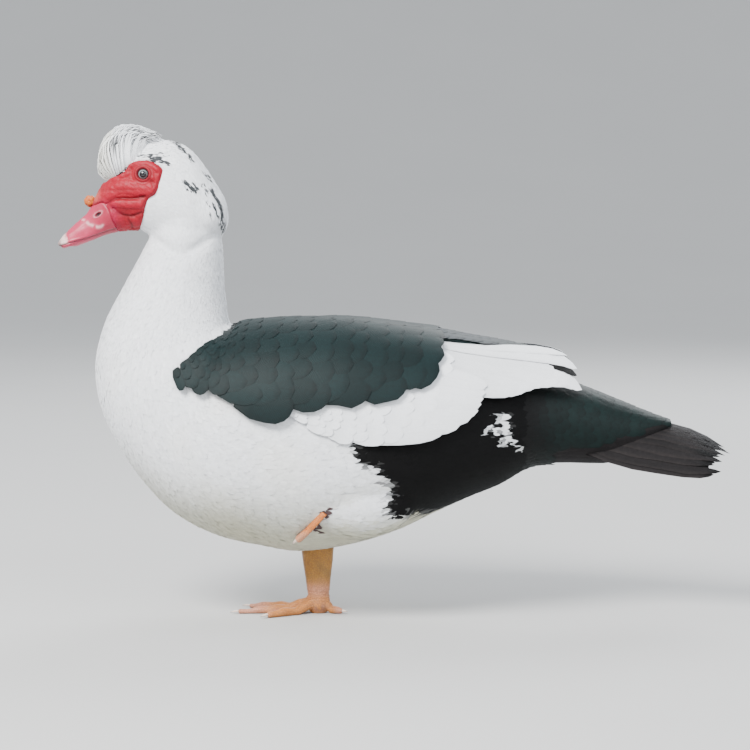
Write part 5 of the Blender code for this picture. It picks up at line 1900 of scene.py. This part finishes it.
@dataclass
class Tail:
    """The tail: a fan of worn quills under a roof of green-black coverts."""

    pairs: int = 9
    tip: float = 350.0
    root: float = 198.0
    width: float = 13.0
    root_tone: float = 0.5
    roof_tone: float = 0.4
    # The outer quills: root and tip as along and turn, width, and lift of the tip.
    side_rows: Rows = (
        (150, 152, 238, 146, 22, 0.2),
        (152, 142, 254, 132, 20, 0.4),
        (156, 132, 266, 118, 18, 0.6),
        (162, 124, 276, 104, 16, 0.8),
        (176, 114, 283, 92, 14, 1.0),
    )

    def core(self, look: Look) -> list[Item]:
        """The closed grounds: the fleshy root of the tail and the roof of quills."""
        along = np.arange(138.0, 286.0, 4.0)[:, None]
        turns = np.linspace(0, 360, 60, endpoint=False)[None, :]
        rings = TRUNK_HIDE.place(along, turns, -1.6)
        root = closed_loft("tail_root", rings, look)
        paint(root, "plume", GREEN_BLACK * self.root_tone)
        x = np.linspace(196, 322, 40)[:, None]
        across = np.linspace(-0.96, 0.96, 61)[None, :]
        outer = TAIL_HIDE.place(x, across, -0.5)
        inner = TAIL_HIDE.place(x, across, -1.7)
        roof = slab("tail_roof", outer, inner, look)
        paint(roof, "plume", CHARCOAL * self.roof_tone)
        return [root, roof]

    def quills(self) -> tuple[Array, Array, Array, Array]:
        """Roots, tips and widths of the left half's quills, and how high each one lies."""
        dice = np.random.default_rng(51)
        share = (np.arange(self.pairs) + 0.35) / self.pairs
        reach = self.tip - 15 * share**2 - 8 * (np.arange(self.pairs) % 2)
        reach -= dice.uniform(0, 7, self.pairs)
        roots = np.stack([np.full(self.pairs, self.root), share * 0.93], -1)
        tips = np.stack([reach, share], -1)
        widths = self.width * dice.uniform(0.92, 1.08, self.pairs)
        return roots, tips, widths, share

    def colours(self, vane: Vane, count: int, seed: int, base: Array, worn: Array) -> Array:
        """Dark quills, browner where worn, with black tips."""
        dice = np.random.default_rng(seed)
        across, along = vane.spread(count)
        tone = dice.uniform(0.8, 1.25, count)[:, None, None]
        colour = blend(base, worn, ramp(np.abs(across), 0.3, 1.0)[..., None])
        colour = colour * tone
        end = dice.uniform(0.78, 0.9, count)[:, None]
        return blend(colour, BLACK, ramp(along, end, end + 0.08)[..., None])

    def build(self) -> list[Item]:
        """Make the tail."""
        down = DownFinish("tail_down", roughness=0.7).make()
        worn = FeatherFinish(
            "tail_plumage", roughness=0.65, sheen=0.02, barbs=230, depth=0.15, shaft=0.25,
            contrast=0.4, gloss=(0.8, 0.85, 0.9), specular=0.15,
        ).make()
        gloss = FeatherFinish(
            "tail_covert_plumage", roughness=0.55, sheen=0.01, barbs=130, depth=0.08, shaft=0.12,
            contrast=0.3, gloss=(0.35, 0.95, 0.8), specular=0.16,
        ).make()
        grounds = self.core(down)
        roots, tips, widths, share = self.quills()
        flock = Flock(LONG_VANE)
        count = 0
        for level, (shift, drop, back) in enumerate(((0.0, 0.0, 0.0), (0.05, -1.0, 7.0))):
            for k in np.argsort(-share):
                start, end = roots[k].copy(), tips[k].copy()
                start[1] += shift
                end[1] = min(end[1] + shift, 0.985)
                end[0] -= back
                lift = 0.9 - 0.6 * float(share[k]) + drop
                flock.lay_on(
                    TAIL_HIDE,
                    start[None],
                    end[None],
                    widths[None, k],
                    (-0.5 + drop * 0.5, lift),
                    flat,
                    tilt=0.5,
                    ragged=0.24,
                    seed=int(k) + 60 + 20 * level,
                )
                seed = int(k) + 70 + 20 * level
                flock.dye(self.colours(LONG_VANE, 1, seed, CHARCOAL, WORN))
                count += 1
        quills = flock.make("tail_quills", worn, silk=0.4, mirrored=True)
        coverts, total = self.coverts(gloss)
        side = self.side_quills(worn)
        for item in (*grounds, quills, coverts, side):
            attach(item, "root")
        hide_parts("tail")
        LOG.info("tail: %d quills a side, %d coverts", count, total)
        return [*grounds, quills, coverts, side]

    def covert_size(self, end: float) -> Array:
        """The size of coverts that end at a section, smaller where they start on the rump."""
        return blend(0.5, 1.0, ramp(end, 136, 175))

    def coverts(self, look: Look) -> tuple[Item, int]:
        """The green-black coverts above and below the root of the tail."""
        dice = np.random.default_rng(55)
        layout = Layout()
        for row, end in enumerate(np.arange(140, 296, 8.0)):
            size = float(self.covert_size(end) * blend(1.0, 0.7, ramp(end, 200, 290)))
            reach = float(np.interp(end, (170, 200, 230, 262, 296), (124, 112, 96, 84, 60)))
            half = float(smooth_rows(TRUNK, end)[4])
            step = max(8.0, 700.0 / half) * 0.85 * size
            turns = np.arange(-reach, reach + 0.1, step) + (row % 2) * step / 2
            for turn in turns:
                tip = end + dice.uniform(-3, 3)
                width = 19 * size * dice.uniform(0.9, 1.1)
                layout.add((tip - 36 * size, turn * 0.98), (tip, turn), width)
        for row, end in enumerate(np.arange(140, 172, 8.0)):
            size = float(self.covert_size(end))
            for turn in np.arange(124, 237, 12.0 * size) + (row % 2) * 6 * size:
                tip = end + dice.uniform(-3, 3)
                width = 16 * size * dice.uniform(0.9, 1.1)
                layout.add((tip - 34 * size, turn), (tip, turn), width)
        roots, tips, widths = layout.columns()
        flock = Flock(BROAD_VANE)
        flock.lay_on(TRUNK_HIDE, roots, tips, widths, (-0.9, 0.9), tail_base, ragged=0.12, seed=56)
        colours = glossy_colours(BROAD_VANE, len(roots), 57) * np.array([0.8, 0.85, 0.75])
        front = ramp(tips[:, 0], 135, 190)[:, None, None]
        colours = blend(BLACK, colours, front)
        flock.dye(colours)
        return flock.make("tail_coverts", look, silk=0.65), len(roots)

    def side_quills(self, look: Look) -> Item:
        """The outer quills along the lower sides of the tail's root, one over the other."""
        flock = Flock(LONG_VANE)
        for k, row in enumerate(np.array(self.side_rows)):
            flock.lay_quill(row, -1.2, flat, 0.3, 0.12, int(row[2]) + 90)
            flock.dye(self.colours(LONG_VANE, 1, k + 95, CHARCOAL, WORN))
        return flock.make("tail_side_quills", look, silk=0.4, mirrored=True)


Relief = Callable[[Array], tuple[Array, Array]]


def head_shell(name: str, x: Array, columns: int, relief: Relief, look: Look) -> Item:
    """A closed shell round the head.

    Args:
        name: The piece's name.
        x: Its sections.
        columns: How many points each section has.
        relief: How far points of the head are lifted, and their colours.
        look: Its material.

    Returns:
        The object.
    """
    turns = np.linspace(0, 360, columns, endpoint=False)
    rings = head(x[:, None], turns[None, :])
    out = HEAD_HIDE.normal(x[:, None], turns[None, :])
    rise, flush = relief(rings.reshape(-1, 3))
    placed = rings + out * rise.reshape(len(x), columns, 1)
    item = closed_loft(name, placed, look)
    paint(item, "flush", np.concatenate([flush, flush[:1], flush[-1:]]))
    return item


@dataclass
class Face:
    """The bare warty mask between bill and cheek, with its lobes, creases and eyelids."""

    start: float = -326.0
    end: float = -234.0
    step: float = 0.8
    columns: int = 250
    eye_oval: float = 1.08
    # Creases seen from the side as X, Z, with their depth.
    creases: tuple[tuple[Rows, float], ...] = (
        (((-313, 428), (-301, 428), (-291, 433.2), (-283, 434.7), (-270, 434.7), (-258, 437)), 1.7),
        (((-291.5, 424.5), (-283.5, 418.2), (-273, 416.6), (-262, 420)), 1.5),
        (((-276.5, 414), (-273, 407.5), (-274, 402)), 1.1),
        (((-304, 442), (-288, 442.5), (-268, 443)), 0.45),
        (((-254, 455), (-249.5, 450), (-248.5, 444)), 0.5),
        (((-282, 460), (-274, 464), (-270, 468)), 0.5),
    )
    # Swellings seen from the side: lines of X, Z with their reach and height.
    swellings: tuple[tuple[Rows, float, float], ...] = (
        (((-312, 434), (-300, 440), (-284, 447), (-268, 445), (-251, 443)), 7.5, 2.1),
        (((-290, 429.5), (-276, 428.5), (-263, 428.5)), 4.6, 2.2),
        (((-275, 411), (-269, 410)), 5.2, 1.5),
        (((-300, 451), (-288, 455), (-277, 461)), 4.0, 1.4),
        (((-275, 468), (-265, 471), (-253, 470), (-246, 464)), 3.0, 1.5),
        (((-296, 418), (-284, 411), (-280, 404)), 4.6, 1.1),
    )
    bulbs: Rows = (
        (-297, 447, 3.0, 0.9),
        (-282, 458, 2.6, 1.2),
        (-250, 455, 2.6, 1.1),
        (-251, 446, 2.8, 1.2),
        (-305, 443, 2.2, 0.8),
        (-271, 471, 2.0, 0.8),
    )

    def build(self) -> Item:
        """Make the mask as one closed surface that dives under the feathers at its edge."""
        look = BareSkinFinish(
            "caruncled_skin", wart=1.7, roughness=0.55, depth=0.2, fold=(0.19, 0.0008, 0.006),
            coat=0.06, glow=0.05,
        ).make()
        x = np.arange(self.start, self.end, self.step)
        item = head_shell("face_mask", x, self.columns, self.relief, look)
        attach(item, "root")
        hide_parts("face")
        LOG.info("face: %d points", len(item.data.vertices))
        return item

    def relief(self, points: Array) -> tuple[Array, Array]:
        """How far the skin stands out at points of the head, and its colour there."""
        x, z = points[:, 0], points[:, 2]
        bare = mask_share(x, z, 1.4)
        horn = bill_share(x, z, 1.0)
        side = ramp(np.abs(points[:, 1]), 5, 11)
        rise = np.zeros(len(points))
        swelling_highlight = np.zeros(len(points))
        for line, reach, height in self.swellings:
            share = np.clip(1 - (distance_to(line, x, z) / reach) ** 2, 0, None) ** 0.7
            rise = np.maximum(rise, height * share * side)
            swelling_highlight = np.maximum(swelling_highlight, share)
        for bx, bz, reach, height in self.bulbs:
            away = np.hypot(x - bx, z - bz) / reach
            bulb = np.clip(1 - away**2, 0, None) ** 0.6 * height
            rise = np.maximum(rise, (rise * 0.5 + bulb) * side)
        # Painted shade in the creases: the deeper a crease, the darker its colour.
        crease_shade = np.zeros(len(points))
        for line, depth in self.creases:
            share = bell(distance_to(rounded(line), x, z), 0, 1.5)
            rise -= depth * share * side
            crease_shade = np.maximum(crease_shade, share * side * min(depth, 1.0))
        rise += 0.28 * ripple(points, 6.5, 11) + 0.12 * ripple(points, 3.5, 12)
        eye = np.hypot(x - EYE[0], (z - EYE[2]) * self.eye_oval)
        lid = bell(eye, 7.2, 1.2)
        outer = bell(eye, 10.6, 1.0)
        rise = np.where(eye < 12, blend(0.8, rise, ramp(eye, 8.5, 12)), rise)
        rise += 1.7 * lid + 0.6 * outer
        rise -= 5.0 * (1 - ramp(eye, 5.1, 6.3))
        rise = rise * bare + 0.6 * bare - 3.2 * (1 - bare) - 3.0 * horn
        # The dark red is painted shade, for the creases, a hollow and the groove round the eyelid.
        crimson, dark = np.array((0.27, 0.0006, 0.012)), np.array((0.07, 0.0003, 0.0030))
        # Pink for a painted highlight on the swellings.
        pink = np.array((0.38, 0.0030, 0.026))
        flush = blend(crimson, dark, (0.85 * crease_shade)[:, None])
        # Painted highlight: the swellings are washed with pink, except in the creases.
        flush = washed(flush, pink, 0.45 * swelling_highlight * (1 - crease_shade))
        # Painted shade in a hollow of the mask.
        hollow = spot(x, z, (-282, 421.5), (8, 4))
        flush = washed(flush, dark, 0.7 * hollow)
        magenta = spot(x, z, (-294, 417), (8, 12))
        flush = washed(flush, (0.36, 0.010, 0.060), 0.75 * magenta)
        near = bell(distance_to(BILL_EDGE, x, z), 0, 4.5)
        flush = washed(flush, (0.32, 0.006, 0.040), 0.7 * near)
        behind_knob = spot(x, z, (-311, 437), (5, 6))
        flush = washed(flush, (0.60, 0.20, 0.13), 0.7 * behind_knob)
        rim = bell(eye, 5.9, 0.9)
        flush = washed(flush, (0.05, 0.008, 0.012), np.clip(rim, 0, 0.95))
        # Painted shade in the groove between the eyelid's ridge and the outer ring.
        flush = washed(flush, dark, 0.6 * bell(eye, 9.0, 0.7))
        return rise, flush


@dataclass
class Eyes:
    """The eyes, each a wet ball with a grey iris."""

    radius: float = 6.4

    def build(self) -> list[Item]:
        """Make both eyes."""
        look = EyeFinish("wet_eye", pupil=3.2, iris=5.5).make()
        made = []
        for side, name in ((1, "eye_ball_left"), (-1, "eye_ball_right")):
            bpy.ops.object.select_all(action="DESELECT")
            centre = (EYE[0] * MM, side * EYE[1] * MM, EYE[2] * MM)
            bpy.ops.mesh.primitive_uv_sphere_add(
                segments=64, ring_count=32, radius=self.radius * MM, location=centre
            )
            item = bpy.context.active_object
            item.name = item.data.name = name
            item.data.materials.append(look)
            take_alone(item)
            bpy.ops.object.transform_apply(location=True, rotation=True, scale=True)
            points = points_of(item)
            off = np.hypot(points[:, 0] - EYE[0], points[:, 2] - EYE[2])
            front = np.sign(points[:, 1]) == -side
            bulge = np.where(front, 0.5 * (1 - ramp(off, 1.5, 4.5)), 0)
            points[:, 1] -= side * bulge
            move_points(item, points)
            item.data.shade_smooth()
            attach(item, "root")
            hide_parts(name.replace("_ball", ""))
            made.append(item)
        LOG.info("eyes: %d", len(made))
        return made


@dataclass
class Bill:
    """The pink bill: one horny shell with its mouth line, nail, nostrils and rim."""

    start: float = -350.0
    end: float = -281.0
    step: float = 0.7
    columns: int = 220
    nostril: tuple[float, float] = (-308.0, 418.0)
    nostril_tilt: float = 32.0
    rim_line: Rows = ((-345, 393), (-332, 401), (-318, 412), (-309, 424))
    # A painted highlight runs along this line below the nostril.
    highlight_line: Rows = ((-324, 412), (-316, 407.5), (-308, 405), (-303, 406.5))

    def build(self) -> Item:
        """Make the bill."""
        look = HornFinish("horny_bill", roughness=0.45, streak=2.0, coat=0.12).make()
        x = np.arange(self.start, self.end, self.step)
        item = head_shell("bill_shell", x, self.columns, self.relief, look)
        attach(item, "root")
        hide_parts("bill_upper", "bill_lower")
        LOG.info("bill: %d points", len(item.data.vertices))
        return item

    def relief(self, points: Array) -> tuple[Array, Array]:
        """How far the horn stands out at points of the bill, and its colour there."""
        x, y, z = points.T
        horn = bill_share(x, z, 0.7)
        mouth = distance_to(MOUTH_LINE, x, z)
        groove = bell(mouth, 0, 0.75)
        above = z > np.interp(x, [p[0] for p in MOUTH_LINE], [p[1] for p in MOUTH_LINE])
        lip = bell(mouth, 1.9, 0.9) * above
        nx, nz = self.nostril
        tilt = math.radians(self.nostril_tilt)
        run = (x - nx) * math.cos(tilt) + (z - nz) * math.sin(tilt)
        rise_off = -(x - nx) * math.sin(tilt) + (z - nz) * math.cos(tilt)
        slit = (run / 3.7) ** 2 + (rise_off / 1.75) ** 2
        pit = 1 - ramp(slit, 0.45, 1.15)
        border = bell(np.sqrt(slit), 1.35, 0.3)
        slope = x + 0.25 * (z - 388)
        nail = 1 - ramp(slope, -342.5, -338.0)
        nail_edge = bell(slope, -338.5, 0.8) * above
        ridge = bell(distance_to(self.rim_line, x, z), 0, 1.4) * (np.abs(y) > 3)
        rise = 0.35 - 0.9 * groove + 0.35 * lip - 2.2 * pit + 0.4 * border + 0.25 * ridge
        rise += 0.35 * nail * above - 0.25 * nail_edge + 0.12 * ripple(points, 9, 14)
        rise = rise * horn - (1.6 + 2.6 * ramp(z, 432, 440)) * (1 - horn)
        pink, rose = np.array((0.40, 0.018, 0.066)), np.array((0.30, 0.004, 0.030))
        pale = np.array((0.72, 0.48, 0.49))
        back = ramp(x, -322, -296)
        flush = blend(pink, rose, back[:, None])
        # Painted highlight: a broken pale streak along the highlight line.
        light = bell(distance_to(rounded(self.highlight_line), x, z), 0, 1.7)
        light = light * ramp(ripple(points, 6, 31), -0.9, 0.5)
        flush = washed(flush, pale, 0.6 * light)
        flush = washed(flush, pale, 0.3 * border * (1 - pit))
        flush = washed(flush, (0.66, 0.52, 0.48), 0.9 * nail * above)
        mark = spot(x, z, (-348.5, 387), (2.2, 3.4))
        flush = washed(flush, (0.06, 0.025, 0.025), 0.75 * mark)
        # Painted shade in the groove along the mouth line.
        flush = washed(flush, (0.12, 0.02, 0.03), 0.85 * groove)
        # Painted shade in the nostril's pit, almost black.
        flush = washed(flush, (0.02, 0.006, 0.008), 0.97 * pit)
        chin = np.interp(x, [-350, -300], [386, 400])
        under = ramp(-z, -chin + 2, -chin + 6)
        flush = washed(flush, (0.50, 0.10, 0.13), 0.4 * under)
        return rise, flush


@dataclass
class Knob:
    """The orange knob on the base of the bill: a cluster of small swellings."""

    radii: tuple[float, float, float] = (6.0, 6.0, 6.0)

    def build(self) -> Item:
        """Make the knob."""
        bpy.ops.object.select_all(action="DESELECT")
        bpy.ops.mesh.primitive_ico_sphere_add(subdivisions=6, radius=1.0, location=(0, 0, 0))
        item = bpy.context.active_object
        item.name = item.data.name = "knob"
        points = points_of(item) * MM
        directions = unit(points)
        dice = np.random.default_rng(61)
        lumps = unit(dice.normal(size=(26, 3)))
        close = (directions @ lumps.T).max(-1)
        swell = ramp(close, 0.80, 1.0)
        radius = 0.89 + 0.16 * swell + 0.02 * ripple(directions, 0.5, 17)
        placed = directions * np.asarray(self.radii) * radius[:, None] + np.asarray(KNOB)
        move_points(item, placed)
        look = BareSkinFinish(
            "knob_skin", wart=1.5, roughness=0.5, depth=0.25, fold=(0.30, 0.03, 0.004),
            coat=0.12, glow=0.08,
        ).make()
        item.data.materials.append(look)
        orange, pale = np.array((0.52, 0.105, 0.006)), np.array((0.58, 0.17, 0.03))
        flush = blend(orange * 0.55, pale, swell[:, None])
        low = ramp(-placed[:, 2], -430, -426)
        flush = washed(flush, (0.42, 0.05, 0.015), 0.6 * low)
        paint(item, "flush", flush)
        item.data.shade_smooth()
        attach(item, "root")
        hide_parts("bill_knob")
        LOG.info("knob: %d points", len(placed))
        return item


def copy_of_nodes(name: str, nodes: tuple[str, ...], look: Look) -> Item:
    """One mesh made of copies of nodes of the frame, with their loose corners merged.

    Args:
        name: The new piece's name.
        nodes: The nodes to copy.
        look: Its material.

    Returns:
        The new object.
    """
    mesh = bmesh.new()
    for node in nodes:
        mesh.from_mesh(bpy.data.objects[node].data)
    bmesh.ops.remove_doubles(mesh, verts=mesh.verts, dist=1e-6)
    data = bpy.data.meshes.new(name)
    mesh.to_mesh(data)
    mesh.free()
    data.materials.clear()
    data.materials.append(look)
    for face in data.polygons:
        face.material_index = 0
    item = bpy.data.objects.new(name, data)
    bpy.context.scene.collection.objects.link(item)
    return item


@dataclass
class Legs:
    """The leg that carries the bird and the one drawn up into the belly, with their webs."""

    voxel: float = 0.9
    join_depth: float = 0.3
    skin_depth: float = 0.25
    knuckle: tuple[float, float] = (-81.3, -0.4)
    yaws: tuple[float, ...] = (-33.0, -6.0, 20.0)
    toe_reach: float = 90.0
    joint_step: float = 21.0
    toe_line: Rows = ((-74.4, 122.0), (-100.8, 92.0))
    tuck: tuple[float, float, float] = (2.0, 24.0, 8.0)
    shank_shift: tuple[float, float, float] = (-6.0, 14.0, 8.0)

    def build(self) -> list[Item]:
        """Make both legs."""
        look = ScaleFinish("scaled_skin", scale=2.3, roughness=0.5).make()
        right = self.limb("leg_and_foot_right", ("leg_right", "foot_right"), look, 10)
        points, normals = points_of(right), normals_of(right)
        floor = points[:, 2] < 0.4
        points = points + normals * self.skin_depth * ~floor[:, None]
        points[:, 2] = np.maximum(points[:, 2], 0.0)
        wrinkle = 0.35 * np.sin(points[:, 2] * 1.9 + 0.5 * ripple(points, 9, 4))
        ankle = bell(points[:, 2], 19, 9)
        points = points + normals * (wrinkle * ankle)[:, None] * (points[:, 2] > 6)[:, None]
        points = self.tapered(points)
        move_points(right, points)
        paint(right, "flush", self.right_colours(points, normals))
        left = self.limb("leg_and_foot_left", ("leg_left", "foot_left"), look, 5)
        points, normals = points_of(left), normals_of(left)
        points = points + normals * self.skin_depth
        inwards = ramp(points[:, 0], -60, -46)[:, None] * self.shank_shift
        tucked = self.tucked(points)
        points = points + inwards + tucked[:, None] * self.tuck
        move_points(left, points)
        paint(left, "flush", self.left_colours(points, tucked))
        pairs = ((right, ("leg_right", "foot_right")), (left, ("leg_left", "foot_left")))
        for item, nodes in pairs:
            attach(item, "root")
            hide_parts(*nodes)
        LOG.info("legs: %d and %d points", len(right.data.vertices), len(left.data.vertices))
        return [right, left]

    def limb(self, name: str, nodes: tuple[str, str], look: Look, rounds: int) -> Item:
        """One smooth surface of two nodes, a little thicker so that the gap between them closes."""
        item = copy_of_nodes(name, nodes, look)
        points, normals = points_of(item), normals_of(item)
        low = points[:, 2] < 0.5
        move_points(item, points + normals * self.join_depth * ~low[:, None])
        one_surface(item, self.voxel, rounds)
        return item

    def right_colours(self, points: Array, normals: Array) -> Array:
        """Ochre leg, orange ankle, pinkish toe ends and dark red webs."""
        x, y, z = points.T
        ochre, olive = np.array((0.42, 0.19, 0.022)), np.array((0.20, 0.115, 0.018))
        orange, pinkish = np.array((0.52, 0.19, 0.035)), np.array((0.58, 0.27, 0.19))
        flush = blend(orange, ochre, ramp(z, 22, 40)[:, None])
        shade = ramp(ripple(points, 26, 8), -0.2, 1.0) * ramp(z, 25, 45)
        flush = washed(flush, olive, 0.6 * shade)
        flush = washed(flush, pinkish, 0.85 * ramp(-x, 122, 150) * (z < 14))
        flush = washed(flush, pinkish, 0.6 * bell(z, 24, 7))
        hind = ramp(x, -68, -60) * (z < 18)
        flush = washed(flush, pinkish, 0.7 * hind)
        pad = spot(x, z, (-80, 6), (9, 6))
        pad = pad * ramp(ripple(points, 7, 23), -0.9, 0.2)
        flush = washed(flush, (0.16, 0.085, 0.085), 0.75 * pad)
        low = (z < 6.4) & (normals[:, 2] > 0.3) & (x < -90)
        web = low * self.between_toes(x, y)
        return washed(flush, (0.16, 0.012, 0.018), 0.9 * web)

    def between_toes(self, x: Array, y: Array) -> Array:
        """1 on the webs between the toes of the standing foot, 0 on the toes."""
        knuckle = np.asarray(self.knuckle)
        away = np.full(len(x), 1e9)
        for yaw in self.yaws:
            turn = math.radians(yaw)
            end = knuckle + self.toe_reach * np.array((-math.cos(turn), math.sin(turn)))
            away = np.minimum(away, distance_to((tuple(knuckle), tuple(end)), x, y))
        return ramp(away, 4.2, 6.0)

    def tapered(self, points: Array) -> Array:
        """Slimmer toe ends and fuller joints for points of the standing foot."""
        x, z = points[:, 0], points[:, 2]
        run = points[:, :2] - np.asarray(self.knuckle)
        best, centre = np.full(len(x), 1e9), run.copy()
        for yaw in self.yaws:
            turn = math.radians(yaw)
            way = np.array((-math.cos(turn), math.sin(turn)))
            reach = np.clip(run @ way, 0, None)
            off = np.linalg.norm(run - reach[:, None] * way, axis=-1)
            centre[off < best] = (reach[:, None] * way)[off < best]
            best = np.minimum(best, off)
        reach = np.linalg.norm(centre, axis=-1)
        toe = ramp(reach, 18, 30) * (1 - ramp(best, 7, 10)) * (x < self.knuckle[0])
        joints = np.cos(reach * 2 * math.pi / self.joint_step)
        slim = 1 - 0.36 * ramp(reach, 45, 84) + 0.07 * joints
        slim = blend(1.0, slim, toe)
        flat_part = np.asarray(self.knuckle) + centre + (run - centre) * slim[:, None]
        return np.stack([flat_part[:, 0], flat_part[:, 1], z * blend(1.0, slim, toe)], -1)

    def tucked(self, points: Array) -> Array:
        """1 on the parts of the drawn-up foot that lie in the belly feathers, 0 on the near toe."""
        (ax, az), (bx, bz) = self.toe_line
        run = math.hypot(bx - ax, bz - az)
        off = ((points[:, 0] - ax) * (bz - az) - (points[:, 2] - az) * (bx - ax)) / run
        return ramp(-off, 6.5, 11.0)

    def left_colours(self, points: Array, tucked: Array) -> Array:
        """An orange toe in front of a purple-grey web."""
        z = points[:, 2]
        orange, pale = np.array((0.56, 0.16, 0.018)), np.array((0.58, 0.27, 0.15))
        flush = blend(pale, orange, ramp(z, 92, 102)[:, None])
        patch = ramp(ripple(points, 11, 19), 0.4, 1.0)
        flush = washed(flush, (0.36, 0.05, 0.01), 0.5 * patch)
        return washed(flush, (0.13, 0.055, 0.06), 0.9 * tucked)


@dataclass
class Claws:
    """The claws of both feet, pale horn with darker tips."""

    names: tuple[str, ...] = (
        "claw_right_inner",
        "claw_right_middle",
        "claw_right_outer",
        "claw_right_hind",
        "claw_left_inner",
        "claw_left_middle",
        "claw_left_outer",
    )

    def build(self) -> list[Item]:
        """Make the claws, each a smoother copy of its node."""
        look = HornFinish("claw_horn", roughness=0.35, streak=1.2, coat=0.3).make()
        legs = Legs()
        made = []
        for node in self.names:
            item = copy_of_nodes(node.replace("claw_", "horn_"), (node,), look)
            finer = item.modifiers.new("finer", "SUBSURF")
            finer.levels = finer.render_levels = 2
            apply_all(item)
            points = points_of(item)
            points = points.mean(0) + (points - points.mean(0)) * 1.05
            points[:, 2] = np.maximum(points[:, 2], 0.3)
            if "left" in node:
                hidden = float(legs.tucked(points).mean())
                points = points + hidden * np.asarray(legs.tuck)
            else:
                points = legs.tapered(points)
            move_points(item, points)
            item.data.shade_smooth()
            low, high = points.min(0), points.max(0)
            reach = (points[:, 0] - low[0]) / max(high[0] - low[0], 1e-6)
            pale, dusk = np.array((0.66, 0.56, 0.48)), np.array((0.22, 0.15, 0.12))
            tip = reach if "hind" in node else 1 - reach
            paint(item, "flush", blend(pale, dusk, (0.8 * ramp(tip, 0.55, 1.0))[:, None]))
            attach(item, "root")
            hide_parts(node)
            made.append(item)
        LOG.info("claws: %d", len(made))
        return made


@dataclass
class Studio:
    """A pale floor, soft lights and the camera."""

    place: tuple[float, float, float] = (-0.022, -2.6, 0.471)
    down: float = 4.85
    lens: float = 120.0
    flat_radius: float = 4.0
    spread: float = 0.45
    rises: int = 12
    climb: float = 0.4

    def floor(self) -> None:
        """A wide floor that curves up behind."""
        bpy.ops.object.select_all(action="DESELECT")
        bpy.ops.mesh.primitive_circle_add(
            vertices=96, radius=self.flat_radius, fill_type="TRIFAN", location=(0, 0, 0)
        )
        item = bpy.context.active_object
        item.name = item.data.name = "studio_floor"
        bpy.ops.object.mode_set(mode="EDIT")
        bpy.ops.mesh.select_all(action="DESELECT")
        bpy.ops.mesh.select_non_manifold()
        for step in range(self.rises):
            share = (step + 1) / self.rises
            grow = 1 + self.spread / (self.flat_radius + step * self.spread)
            bpy.ops.mesh.extrude_edges_move()
            bpy.ops.transform.resize(value=(grow, grow, 1))
            bpy.ops.transform.translate(value=(0, 0, self.climb * share**1.5))
        bpy.ops.mesh.select_all(action="SELECT")
        bpy.ops.mesh.normals_make_consistent(inside=True)
        bpy.ops.object.mode_set(mode="OBJECT")
        item.data.shade_smooth()
        item.data.materials.append(FloorFinish().make())

    def light(
        self, name: str, place: tuple[float, float, float], size: float, watts: float, tint: Colour
    ) -> None:
        """A large soft light that looks at the bird."""
        lamp = bpy.data.lights.new(name, "AREA")
        lamp.shape = "DISK"
        lamp.size = size
        lamp.energy = watts
        lamp.color = tint
        item = bpy.data.objects.new(name, lamp)
        item.location = place
        aim = Vector((-0.05, 0.0, 0.25)) - Vector(place)
        item.rotation_euler = aim.to_track_quat("-Z", "Y").to_euler()
        bpy.context.scene.collection.objects.link(item)

    def build(self) -> None:
        """Make floor, lights, world and camera."""
        self.floor()
        self.light("key", (-1.5, -1.9, 2.5), 1.5, 270.0, (1.0, 0.985, 0.96))
        self.light("fill", (1.9, -2.4, 1.5), 2.2, 56.0, (0.94, 0.97, 1.0))
        self.light("back", (0.9, 2.4, 2.2), 1.8, 90.0, (0.96, 0.98, 1.0))
        world = bpy.data.worlds.new("soft_sky")
        world.use_nodes = True
        sky = world.node_tree.nodes["Background"]
        sky.inputs["Color"].default_value = (0.86, 0.90, 0.95, 1)
        sky.inputs["Strength"].default_value = 1.3
        bpy.context.scene.world = world
        lens = bpy.data.cameras.new("camera")
        lens.lens = self.lens
        lens.sensor_width = 36.0
        lens.clip_end = 60.0
        camera = bpy.data.objects.new("camera", lens)
        camera.location = self.place
        camera.rotation_euler = (math.radians(90 - self.down), 0, 0)
        bpy.context.scene.collection.objects.link(camera)
        bpy.context.scene.camera = camera


def main() -> None:
    """Build the duck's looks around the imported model."""
    logging.basicConfig(level=logging.INFO, format="%(name)s %(message)s")
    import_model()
    Studio().build()
    skin = Skin().build()
    Coat(Ground(skin)).build()
    for part in (Crest, Saddle, Wing, Tail, Face, Eyes, Bill, Knob, Legs, Claws):
        part().build()


if __name__ == "__main__":
    main()
